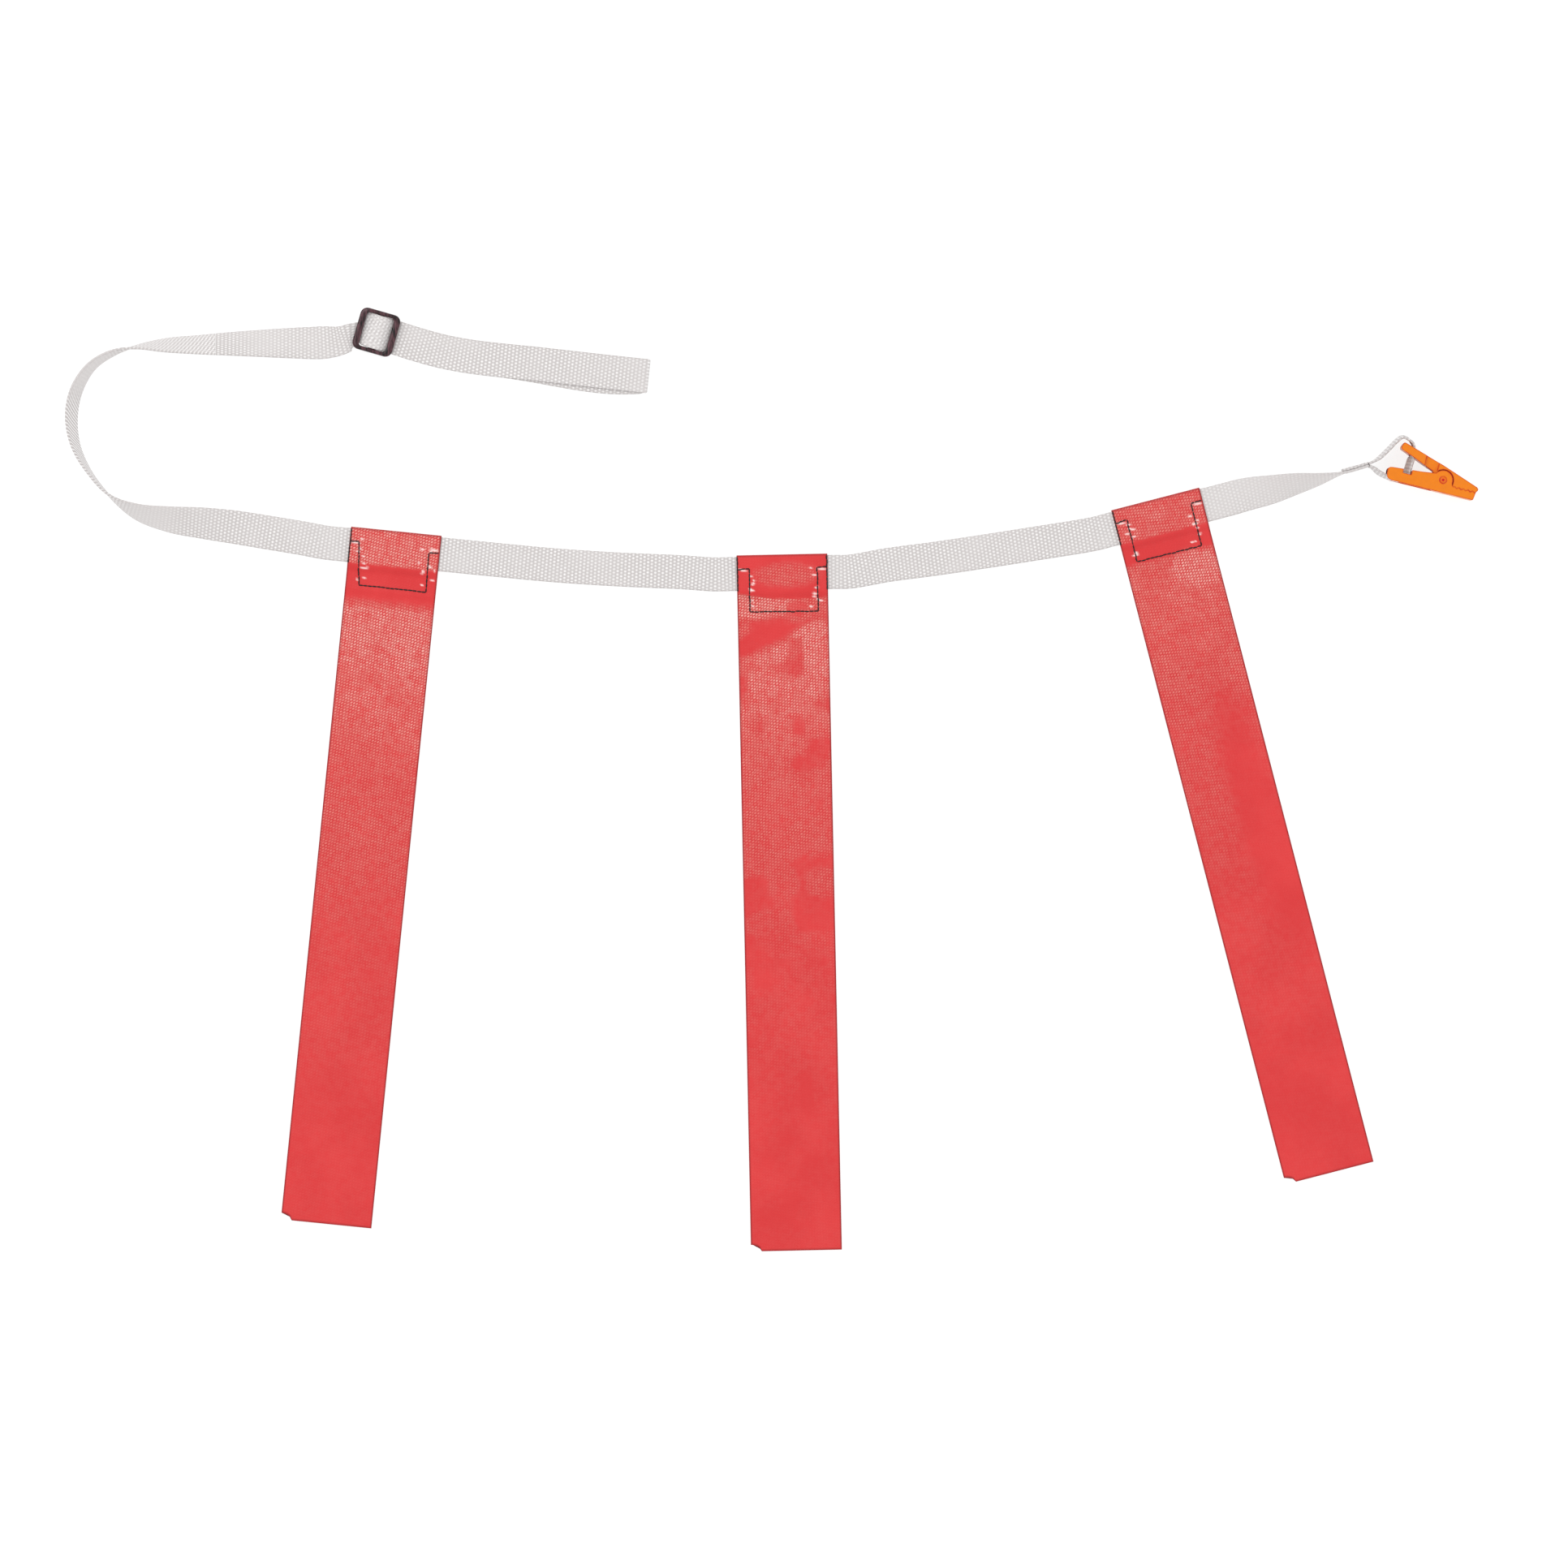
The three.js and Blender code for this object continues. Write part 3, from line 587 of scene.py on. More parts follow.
# glossy orange plastic, a little darker here and there at random; painted shade: redder in the narrow dips
# and along its arrises
def clipFinish(name, ground, arrisShade, dot=None):
    look = Finish(name, 0.36, Specular_IOR_Level=0.28)
    soft = look.node("Bevel", {"samples": 8}, Radius=0.0011)
    flat = look.node("NewGeometry", out=1)
    turn = look.node("VectorMath", {"operation": "DOT_PRODUCT"}, out=1, at0=soft, at1=flat)
    plasticNoise = look.noise(look.objectPlace(), 260.0, 2.0)
    # painted shade: redder where the rounded normal turns from the flat one, along arrises and in dips
    arris = look.step(turn, 0.998, 0.93) * look.step(plasticNoise, 0.3, 0.6, 0.5, 1.0)
    colour = look.mix(look.step(plasticNoise, 0.3, 0.7, 0.0, 0.5), ground, tuple(0.9 * v for v in ground))
    colour = look.mix(arris, colour, arrisShade)
    if dot:
        x, y, _ = look.parts(look.objectPlace())
        x, y = x - belt["clipPivot"][0] * mm, y - belt["clipPivot"][1] * mm
        away = (x * x + y * y).math("SQRT")
        colour = look.mix(look.step(away, dot["radius"] * 1.25, dot["radius"]), colour, dot["colour"])
    return look.feeds(
        Base_Color=colour,
        Roughness=look.step(plasticNoise, 0.2, 0.8, 0.24, 0.4),
        Normal=look.bump(look.noise(look.objectPlace(), 900.0, 2.0), 0.00003, 0.4),
    )


# drawn spring wire
def steelFinish():
    look = Finish("springSteel", 0.25, Metallic=1.0)
    drawn = look.noise(look.objectPlace(), 1800.0, 2.0)
    return look.feeds(
        Base_Color=look.mix(drawn, shade(150, 148, 146), shade(205, 204, 202)),
        Roughness=look.step(drawn, 0.2, 0.8, 0.2, 0.38),
    )


webbingLook = webbingFinish()
flagLook = flagFinish()
threadLook = threadFinish("blackThread", shade(4, 4, 5), shade(26, 22, 25))
paleThreadLook = threadFinish("paleThread", shade(214, 210, 209), shade(240, 238, 237))
slideLook = slideFinish()
clipLook = clipFinish("clipPlastic", shade(230, 124, 2), shade(196, 50, 4))
pinDot = {"radius": 0.0007, "colour": shade(190, 18, 8)}
pinLook = clipFinish("pinPlastic", shade(226, 112, 4), shade(196, 50, 4), pinDot)
steelLook = steelFinish()
print("finishes made")


rowSpacing = 1.2


# a stretch of webbing on a line between two distances; narrowing, the painted-shade mask and dashed are
# functions of the distance, and turnTo is the width direction that its last rows swing round to
def strapRun(
    name, first, last, narrowing=None, tiltShade=None, dashed=None, line=route, start=None, turnTo=None
):
    count = max(4, int(abs(last - first) / rowSpacing))
    s = np.linspace(first, last, count)
    centre, across, _ = webbingFrames(s, line=line, walked=walkedAlong(line))
    if turnTo is not None:
        share = ease(s, last - 9, last - 1)[:, None]
        across = across * (1 - share) + np.array(turnTo) * share
        across /= np.linalg.norm(across, axis=1)[:, None]
    narrow = None if narrowing is None else narrowing(s)
    begins = first if start is None else start
    tiltShadeRows = None if tiltShade is None else tiltShade(s)
    dashes = None if dashed is None else dashed(s)
    return webbing(name, centre, across, start=begins, narrowing=narrow, tiltShade=tiltShadeRows, dashed=dashes)


def flatStrap(length):
    length * mm


under2 = distanceNear(6, 116)
under1 = distanceNear(-210, 129)
onTop = distanceNear(-310, 243)
outBar = distanceNear(*slidePoint(9.7)[:2])
leftTwist = distanceNear(-353.7, 149.6)


# painted shade: plain grey without crowns towards the clip, where the twisting webbing turns away from the
# light
def rightTiltShade(s):
    return 0.5 * (1 - ease(s, 60, 95))


strapRight = strapRun("strap_right", 0.0, under2, tiltShade=rightTiltShade)
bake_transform(strapRight)
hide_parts("webbing_right_run")
flatStrap(under2)

strapLeft = strapRun("strap_left", under2, under1)
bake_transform(strapLeft)
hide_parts("webbing_center_run")
flatStrap(under1 - under2)


# painted shade: plain grey without crowns just before the twist, and again on the upper left of the bend,
# where the face turns away from the light
def bendTiltShade(s):
    before = patch(s, 0 * s, (leftTwist - 6, 0), (14, 1), soft=0.6)
    after = patch(s, 0 * s, (leftTwist + 98, 0), (17, 1), soft=0.5)
    return np.clip(0.7 * before + 0.8 * after, 0, 1)


# on the steep part of the bend the weave shows as slanting dashes
def bendDashes(s):
    steep = patch(s, 0 * s, (leftTwist + 50, 0), (32, 1), soft=0.4)
    return steep + 0.6 * patch(s, 0 * s, (leftTwist + 152, 0), (26, 1), soft=0.4)


strapBend = strapRun("strap_bend", under1, onTop, tiltShade=bendTiltShade, dashed=bendDashes)
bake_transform(strapBend)
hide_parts("webbing_left_run", "webbing_left_bend", "webbing_bend_flex", "webbing_top_bend")
flatStrap(onTop - under1)

# the strap comes in level and low, and gathers to slip under the slide's first bar
feed = {
    "narrow": 0.78,
    "points": [
        (-319.7, 242.9, 56, 0), (-301.6, 243.4, 46, 0), (-283.4, 243.7, 36, 0), (-265.3, 243.9, 24, 0.2),
        (-252.0, 244.1, 14, 0.5), (-241.0, 245.2, 6, 1.0), (-229.9, 249.4, 0, 1.85), (-222.0, 252.6, 0, 1.85),
    ],
}
feedLine = smoothPath(feed["points"])
feedWalked = walkedAlong(feedLine)
feedFirst = float(np.interp(-310, feedLine[:, 0], feedWalked))
feedLast = float(np.interp(-229.9, feedLine[:, 0], feedWalked))


# how wide the feed is at a distance, as a share of the webbing's width
def gathered(s):
    return 1 - (1 - feed["narrow"]) * ease(s, feedLast - 24, feedLast - 3)


slideDown = tuple(float(v) for v in turned((0, 0), belt["slideTilt"], 0, -1)) + (0.0,)
strapFeed = strapRun(
    "strap_feed", feedFirst, feedLast, narrowing=gathered, line=feedLine, start=onTop, turnTo=slideDown
)
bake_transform(strapFeed)
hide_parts("webbing_feed")
flatStrap(feedLast - feedFirst)


# webbing through rows of (distance on the route, height, sideways), smoothed: for layers that pass over
# and under each other
def layeredStrap(name, rows, narrowing=None, spacing=8, dashed=0.0):
    line = smoothPath(rows, spacing)
    s, z, off = line.T
    x, y = (np.interp(s, routeDistance, route[:, k]) for k in (0, 1))
    dx, dy = (np.interp(s, routeDistance, np.gradient(route[:, k], routeDistance)) for k in (0, 1))
    length = np.hypot(dx, dy)
    across = np.stack([dy / length, -dx / length, 0 * s], 1)
    centre = np.stack([x, y, z], 1) + across * off[:, None]
    narrow = None if narrowing is None else narrowing(s)
    dashes = np.full(len(s), dashed)
    piece = webbing(name, centre, across, start=float(s[0]), narrowing=narrow, dashed=dashes)
    return piece, float(np.linalg.norm(np.diff(centre, axis=0), axis=1).sum())


atSlide = distanceNear(*slidePoint(0)[:2])
threadedRows = [
    (-9.7, 2.56), (-8.4, 2.62), (-5.4, 4.7), (-2.6, 6.35), (0, 6.6), (2.6, 6.35), (5.4, 4.7), (8.4, 2.62),
    (9.7, 2.56),
]
threadedWidth = 0.996


# gathered under the first bar, nearly full width in the window
def threadedNarrowing(s):
    return threadedWidth - (threadedWidth - feed["narrow"]) * (1 - ease(s, atSlide - 9.8, atSlide - 7.9))


strapThreaded, threadedLength = layeredStrap(
    "strap_threaded",
    [(atSlide + x, z, 3.2 if x < -9 else 0.0) for x, z in threadedRows],
    narrowing=threadedNarrowing,
    dashed=0.3,
)
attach(strapThreaded, "slide")
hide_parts("webbing_threaded")
flatStrap(threadedLength)


# the tail: out from under the slide, to its end and back beneath itself, then up round the middle bar
tailEnd = routeEnd - 1.2
drift = 2.9      # how far the lower layer shows past the upper one


# the tail's rows of (distance on the route, height, sideways)
def tailRows():
    upper = np.linspace(outBar, tailEnd - 3, 22)
    lower = np.linspace(tailEnd - 3, atSlide + 14, 22)
    shown = np.sin(np.pi * np.clip((lower - (tailEnd - 84)) / 84, 0, 1) ** 1.7) ** 0.8 * drift
    rows = [(s, 2.55, 0.0) for s in upper]
    rows += [(tailEnd - 1, 2.52, 0.0), (tailEnd, 2.2, 0.0), (tailEnd + 0.3, 1.65, 0.0), (tailEnd, 1.1, 0.0)]
    rows += [(tailEnd - 1, 0.8, 0.0)]
    rows += [(s, 0.76, off) for s, off in zip(lower, shown)]
    wrap = [
        (10, 0.78), (6, 0.78), (0, 0.8), (-2.9, 1.35), (-3.5, 2.9), (-2.7, 4.45), (0, 4.9), (2.4, 4.55),
        (3.6, 3.7),
    ]
    return rows + [(atSlide + x, z, 0.0) for x, z in wrap]


strapTail, tailLength = layeredStrap("strap_tail", tailRows(), spacing=6)
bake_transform(strapTail)
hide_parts("webbing_tail", "webbing_tail_upper_feed", "webbing_tail_lower_feed", "webbing_anchor")
flatStrap(tailLength)

# the webbing's end, sewn back against the strap beside it
sewn = {"reach": 14.8, "rows": 14, "sideways": 1.46, "flat": 15.0}
sewnCentre, sewnAcross, _ = webbingFrames(
    np.linspace(0.0, sewn["reach"], sewn["rows"]), sideways=sewn["sideways"]
)
strapSewnEnd = webbing("strap_sewn_end", sewnCentre, sewnAcross)
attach(strapSewnEnd, "belt_right")
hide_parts("webbing_sewn_end")
flatStrap(sewn["flat"])

# the loop through the clip's tail, standing on edge, in the clip's own frame
loop = {
    "level": 11.5,
    "flare": -3.5,      # degrees: the loop closes in a little towards the top
    "crossing": 8.0,    # degrees: the strand between the handles leans the other way
    "points": [
        (-42.3, -0.9), (-40.5, 0.4), (-37.6, 3.2), (-33.5, 9.5), (-29.6, 16.0), (-27.2, 18.3), (-23.4, 17.6),
        (-20.4, 15.2), (-19.6, 12), (-19.9, 6), (-20.2, 1), (-20.6, -2.6), (-22.4, -5.2), (-26, -5.7),
        (-31, -5.4), (-35.5, -4.3), (-38.9, -2.7), (-40.9, -2.15), (-41.6, -2.2),
    ],
}
loopLine = smoothPath(loop["points"], 10)
loopX, loopY = turned(belt["clipPivot"], belt["clipTilt"], loopLine[:, 0], loopLine[:, 1])
loopCentre = np.stack([loopX, loopY, 0 * loopX + loop["level"]], 1)
loopAlong = alongOf(np.stack([loopX, loopY, 0 * loopX], 1))
loopOut = np.stack([-loopAlong[:, 1], loopAlong[:, 0], 0 * loopX], 1)
crossing = ease(loopLine[:, 0], -23.4, -21.2) * ease(loopLine[:, 1], -4, -1.5)
crossing = crossing * (1 - ease(loopLine[:, 1], 7, 10.5))
closing = ease(loopLine[:, 0], -41, -36) * (1 - ease(loopLine[:, 0], -24, -21.5))
loopFlare = (math.radians(loop["flare"]) * closing + math.radians(loop["crossing"]) * crossing)[:, None]
loopAcross = loopOut * np.sin(loopFlare) + np.array([0.0, 0.0, 1.0]) * np.cos(loopFlare)
strapLoop = webbing("strap_loop", loopCentre, loopAcross)


# a place in the clip's frame, in the belt's metres
def clipPoint(x, y, z=0.0):
    px, py = turned(belt["clipPivot"], belt["clipTilt"], x, y)
    return (float(px) * mm, float(py) * mm, z * mm)


clipPoint(-24, 2, 11.5)
clipPoint(-24, 13, 11.5)
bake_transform(strapLoop)
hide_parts("webbing_loop")
flatStrap(float(np.linalg.norm(np.diff(loopCentre, axis=0), axis=1).sum()))
print("webbing laid, about", round(routeEnd + tailEnd - atSlide + 75), "mm of it")


# the flags

sleeve = {
    "top": 3.0,          # middle of the cloth over the webbing
    "webbingFoot": 20.4,  # how far down the sleeve the webbing ends
    "doubled": 0.86,     # middle of the front cloth where both layers are sewn
    "doubledEnd": 33.8,
    "flat": 0.3,
    "seam": 32.0,
    "side": 17.9,        # the upright seams, from the middle
    "tick": 7.3,
    "bite": (6.0, 3.7),
}


# middle height of the front cloth y below the fold: over the webbing, down a slope to the doubled cloth,
# then a step down to the single layer, with small puckers about the seam and slow waves in the blade
def frontHeight(flag, x, y):
    seed = int(flag["name"][-1])
    height = sleeve["top"] - (sleeve["top"] - sleeve["doubled"]) * ease(-y, 20.2, 25.2)
    height = height - (sleeve["doubled"] - sleeve["flat"]) * ease(-y, sleeve["doubledEnd"], 37.5)
    height = height - 0.35 * ease(1.2 - (-y), 0, 2.2)
    ripple = np.sin(x * (2 * np.pi / 6.3) + 5 * softNoise(x, y * 0, 15, seed)) * 0.5 + 0.5
    height = height + 0.30 * ripple * np.exp(-(((y + sleeve["seam"] + 4.5) / 3.2) ** 2))
    height = height + 0.22 * ripple * np.exp(-(((y + 24.5) / 3.0) ** 2))
    height = height + 0.30 * (softNoise(x, y, 9, seed + 10) - 0.3) * (1 - ease(-y, 15, 21))
    blade = ease(-y, 38, 110)
    wave = softNoise(x, y, 46, seed + 20) * 1.5 + softNoise(x, y, 17, seed + 30) * 0.35
    return height + blade * wave + 0.12 * softNoise(x, y, 6, seed + 40) * ease(-y, 34, 50)


# the painted sheen on the crowns fades down the flag: full near the seam, half a third of the way down,
# nearly none at the foot
def fading(down):
    return 1.05 - 0.5 * ease(down, 55, 150) - 0.34 * ease(down, 150, 250) - 0.13 * ease(down, 250, 345)


# how strongly the painted sheen shows at a place on each flag, 0 to 1
def paintedSheenOf(flag, x, y):
    down = -y
    cloud = softNoise(x, y, 11, 7 + len(flag["name"]) + int(flag["fold"][0]) % 50)
    fine = softNoise(x, y, 3.4, 91 + int(flag["fold"][0]) % 50)
    mottle = 0.2 + 0.25 * cloud + 0.4 * fine
    if flag["name"] == "flag_1":
        sleeveBand = (1 - ease(down, 19, 21)) * (0.55 + 0.6 * mottle)
        blade = ease(down, 37, 46) * (0.45 + 0.9 * mottle)
        value = sleeveBand + blade * fading(down)
    elif flag["name"] == "flag_2":
        sleeveBand = 0.5 * patch(x, y, (2, -11.5), (17, 6.5)) * (0.5 + mottle)
        arc = down + 2.2 * (x / 25) ** 2 - 0.05 * x
        seamBand = ease(arc, 24.2, 25.6) * (1 - ease(down, 32, 42)) * (1.05 - 0.5 * ease(x, 4, 20))
        seamBand = seamBand * (0.6 + 0.9 * mottle)
        blade = ease(down, 34, 44) * (0.42 + 0.8 * mottle)
        blade = blade * (1 - 0.95 * patch(x, y, (-10, -45), (31, 6.5), 27))
        blade = blade + 0.6 * patch(x, y, (10, -48), (17, 5.5), 40) * (0.5 + mottle)
        shown = 0.35 + 0.65 * ease(cloud, 0.16, 0.34)
        value = sleeveBand + np.maximum(seamBand, blade * fading(down)) * shown
    else:
        sleeveBand = (1 - ease(down, 19, 21)) * (0.3 + 0.7 * mottle)
        blade = ease(down, 31, 35) * (0.25 + 0.7 * mottle)
        blade = blade + 0.7 * patch(x, y, (13, -43), (12, 10), -20) * (0.4 + mottle)
        blade = blade * (1 - 0.85 * patch(x, y, (14, -190), (14, 70), 4))
        value = sleeveBand + blade * fading(down)
    return np.clip(value, 0, 1)


# painted highlights: small pale flecks beside the seams, seeded ovals near the ticks and the upright seams
def highlightFleckOf(flag, x, y):
    rng = np.random.default_rng(31 + int(flag["name"][-1]))
    side, tick = sleeve["side"], sleeve["tick"]
    places = [(sx * (side + 4.2), -tick - 1.2, 2.4, 0.5) for sx in (-1, 1)]
    places += [(sx * side + rng.normal(0, 2.0), -rng.uniform(6, 30), rng.uniform(0.5, 1.3), 0.45)
               for sx in (-1, 1) for _ in range(9)]
    total = sum(patch(x, y, (px, py), (rx, ry), rng.uniform(-20, 20), 0.6) for px, py, rx, ry in places)
    return np.clip(total * 0.8, 0, 0.85)


# one flag: a band of cloth carried up behind the webbing, round the fold and down the front.
# point = path(y, z) + normal * section, lifted by the front's height, its foot drawn in by the bite
def flagSheet(flag):
    backY = np.linspace(-sleeve["doubledEnd"] + 0.4, -1.6, 26)
    turn = np.linspace(-np.pi / 2, np.pi / 2, 12)[1:-1]
    frontY = np.concatenate([-np.linspace(1.6, 58, 72), -np.linspace(59.4, belt["flagLength"], 220)])
    rise = (sleeve["top"] - sleeve["flat"]) / 2 - 0.08
    y = np.concatenate([backY, -1.6 + rise * np.cos(turn), frontY])
    z = np.concatenate([backY * 0 + sleeve["flat"], sleeve["flat"] + rise + rise * np.sin(turn), frontY * 0])
    onFront = len(backY) + len(turn)
    a, b, walked = bandSection(belt["flagWidth"], belt["clothThick"], flatCount=62, endCount=3)
    x = np.broadcast_to(a, (len(y), len(a)))
    level = frontHeight(flag, x, y[:, None])
    z = np.repeat(z[:, None], len(a), 1)
    z[onFront:] = level[onFront:]
    fold = slice(len(backY), onFront)
    z[fold] = z[fold] + (level[onFront] - sleeve["flat"] - 2 * rise) * ((1 + np.sin(turn)) / 2)[:, None]
    dy = np.gradient(y)[:, None]
    dz = np.gradient(z, axis=0)
    length = np.hypot(dy, dz)
    yy = y[:, None] + b * dz / length
    zz = z - b * dy / length
    biteX, biteY = sleeve["bite"]
    inBite = np.sqrt(np.clip(1 - ((x + belt["flagWidth"] / 2) / biteX) ** 2, 0, 1)) * biteY
    yy = yy + inBite * ease(-y[:, None], belt["flagLength"] - 14, belt["flagLength"]) * (dy < 0)
    zz = np.maximum(zz, 0.02)
    px, py = turned(flag["fold"], flag["lean"], x, yy)
    gone = np.concatenate([[0], np.cumsum(np.hypot(np.diff(y), np.diff(z[:, 0])))])
    uv = np.stack(np.broadcast_arrays(walked[None, :], gone[:, None]), -1) * mm
    piece = gridMesh(flag["name"] + "_cloth", np.stack([px, py, zz], -1) * mm, uv, flagLook)
    # painted sheen, none on the cloth where it lies on the floor
    paintedSheen = paintedSheenOf(flag, x, np.minimum(yy, 0)) * ease(zz, 0.0, 0.35)
    footGap = np.abs(-belt["flagLength"] + inBite - yy)
    edgeGap = np.minimum(belt["flagWidth"] / 2 - np.abs(x), footGap)
    # painted shade: darker along the cut edges and the foot, and across the top of the fold
    rim = np.maximum(1 - ease(edgeGap, 0.35, 1.1), 0.6 * patch(yy * 0, yy, (0, 0), (1, 1.2)))
    marked(piece, "paintedSheen", paintedSheen)
    marked(piece, "rim", rim)
    # painted highlights beside the seams, on the raised cloth only
    highlightFleck = highlightFleckOf(flag, x, np.minimum(yy, 0)) * ease(zz, 0.6, 0.9)
    marked(piece, "highlightFleck", highlightFleck)
    return piece, float(gone[-1])


# a thread's place on the flag's front: x across, y up from the fold, lying on the cloth
def threadPlace(flag, x, y):
    x, y = np.broadcast_arrays(np.asarray(x, float), np.asarray(y, float))
    z = frontHeight(flag, x, y) + belt["clothThick"] / 2 + 0.12
    px, py = turned(flag["fold"], flag["lean"], x, y)
    return np.stack([px, py, z], -1)


# every seam of one flag: a tick in from each edge, two upright seams, the row below the webbing
def flagSeams(flag, thread):
    edge = belt["flagWidth"] / 2 - 0.5
    rng = np.random.default_rng(int(flag["name"][-1]))
    leftTop, leftFoot, rightFoot, rightTop = thread["corners"]
    legs = [
        ((-edge, leftTop[1] - 0.4), leftTop),
        (leftTop, leftFoot),
        (leftFoot, rightFoot),
        (rightFoot, rightTop),
        (rightTop, (edge, rightTop[1] + 0.3)),
    ]
    steps = thread["steps"]
    lines = [(np.linspace(a[0], b[0], steps), np.linspace(a[1], b[1], steps)) for a, b in legs]
    lines += thread["extra"]
    starts, ends = [], []
    for x, y in lines:
        a, b = stitchLine(threadPlace(flag, x, y))
        starts.append(a)
        ends.append(b)
    starts, ends = np.vstack(starts), np.vstack(ends)
    wander = rng.normal(0, 0.09, starts.shape) * (1, 1, 0)
    piece = stitches(flag["name"] + "_seams", starts + wander, ends + wander, thread["radius"], threadLook)
    settled(piece, flag["belt"], flag["name"] + "_stitching")
    return piece


edgeX = belt["flagWidth"] / 2 - 0.4
leftEdge = (np.full(12, -edgeX), np.linspace(-1.0, -sleeve["webbingFoot"], 12))
rightEdge = (np.full(12, edgeX), np.linspace(-1.0, -sleeve["webbingFoot"], 12))
threads = {
    "flag_1": {
        "radius": 0.38, "steps": 40, "extra": [leftEdge],
        "corners": ((-20.1, -7.9), (-18.0, -32.0), (19.8, -32.4), (19.3, -10.3)),
    },
    "flag_2": {
        "radius": 0.38, "steps": 40, "extra": [leftEdge, rightEdge],
        "corners": ((-18.3, -7.8), (-18.5, -31.8), (19.8, -32.2), (19.4, -7.7)),
    },
    "flag_3": {
        "radius": 0.38, "steps": 40, "extra": [leftEdge],
        "corners": ((-18.4, -7.4), (-18.4, -31.6), (18.6, -31.8), (18.6, -7.6)),
    },
}
for flag in flags:
    sheetPiece, cut = flagSheet(flag)
    seamPiece = flagSeams(flag, threads[flag["name"]])
    start = turned(flag["fold"], flag["lean"], 0, -sleeve["doubledEnd"] + 0.5)
    end = turned(flag["fold"], flag["lean"], 0, -sleeve["doubledEnd"] - 24)
    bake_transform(sheetPiece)
    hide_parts(flag["name"] + "_sleeve", flag["name"] + "_blade")
    cut * mm
print("flags sewn")


# the slide

slide = {
    "width": 23.0,
    "height": 24.05,
    "corner": 4.0,
    "sideBar": 3.7,
    "endBar": 2.4,
    "low": 1.9,
    "sideLow": 4.2,
    "high": 6.8,
    "middleBar": (2.0, 1.9, 3.7),
}


# a rounded rectangle walked once round: straight sides and quarter circles, evenly spaced
def roundedRectangle(width, height, corner, count):
    w, h = width / 2 - corner, height / 2 - corner
    turn = np.linspace(0, np.pi / 2, 9)
    quarters = [
        (sx * w + corner * np.cos(turn + at), sy * h + corner * np.sin(turn + at))
        for sx, sy, at in ((1, 1, 0), (-1, 1, np.pi / 2), (-1, -1, np.pi), (1, -1, 1.5 * np.pi))
    ]
    x, y = np.concatenate([q[0] for q in quarters]), np.concatenate([q[1] for q in quarters])
    x, y = np.append(x, x[0]), np.append(y, y[0])
    walked = np.concatenate([[0], np.cumsum(np.hypot(np.diff(x), np.diff(y)))])
    at = np.linspace(0, walked[-1], count, endpoint=False)
    return np.interp(at, walked, x), np.interp(at, walked, y)


# a superellipse walked once round: (|a|/w)^power + (|b|/h)^power = 1
def squarish(count, power=3.2):
    turn = np.linspace(0, 2 * np.pi, count, endpoint=False)
    c, s = np.cos(turn), np.sin(turn)
    return np.sign(c) * np.abs(c) ** (2 / power), np.sign(s) * np.abs(s) ** (2 / power)


# points given in the slide's frame, moved to the belt's
def atSlidePlace(points):
    x, y = turned(belt["slideCentre"], belt["slideTilt"], points[..., 0], points[..., 1])
    return np.stack([x, y, points[..., 2]], -1)


# the frame: a squarish section carried round between an outer and an inner rounded rectangle, deeper at
# its two ends than at the sides the webbing passes under
def slideFrame():
    outerX, outerY = roundedRectangle(slide["width"], slide["height"], slide["corner"], 132)
    innerWidth = slide["width"] - 2 * slide["sideBar"]
    innerHeight = slide["height"] - 2 * slide["endBar"]
    innerX, innerY = roundedRectangle(innerWidth, innerHeight, 1.6, 132)
    a, b = squarish(20)
    middle = np.stack([outerX + innerX, outerY + innerY], 1) / 2
    reach = np.stack([outerX - innerX, outerY - innerY], 1) / 2
    atEnd = ease(np.abs(middle[:, 1]), 8.4, 10.6)
    low = slide["sideLow"] - (slide["sideLow"] - slide["low"]) * atEnd
    crown = 0.25 * (1 - atEnd)
    level, depth = (slide["high"] - crown + low) / 2, (slide["high"] - crown - low) / 2
    points = np.empty((len(middle), len(a), 3))
    points[..., :2] = middle[:, None] + reach[:, None] * a[:, None]
    points[..., 2] = level[:, None] + depth[:, None] * b
    ring = np.concatenate([points, points[:1]])
    uv = np.zeros((len(ring), len(a) + 1, 2))
    piece = gridMesh("slide_rim", atSlidePlace(ring) * mm, uv, slideLook, closedEnds=False)
    return joinedEnds(piece)


# merges the doubled ring of a closed sweep
def joinedEnds(piece):
    work = bmesh.new()
    work.from_mesh(piece.data)
    bmesh.ops.remove_doubles(work, verts=work.verts, dist=1e-6)
    bmesh.ops.recalc_face_normals(work, faces=work.faces)
    if work.calc_volume(signed=True) < 0:
        bmesh.ops.reverse_faces(work, faces=work.faces)
    work.to_mesh(piece.data)
    work.free()
    return piece


# the middle bar: the same section carried straight across, swelling where it meets the frame
def slideBar():
    y = np.linspace(-10.8, 10.8, 30)
    a, b = squarish(20, 2.6)
    half, low, high = slide["middleBar"]
    swell = 1 + 0.22 * ease(np.abs(y), 8.0, 10.6)
    points = np.empty((len(y), len(a), 3))
    points[..., 0] = half * swell[:, None] * a
    points[..., 1] = y[:, None]
    points[..., 2] = (low + high) / 2 + (high - low) / 2 * swell[:, None] * b
    return gridMesh("slide_bar", atSlidePlace(points) * mm, np.zeros((len(y), len(a) + 1, 2)), slideLook)


slideRim, slideMiddle = slideFrame(), slideBar()
for piece in (slideRim, slideMiddle):
    settled(piece, "slide", "slide_frame")

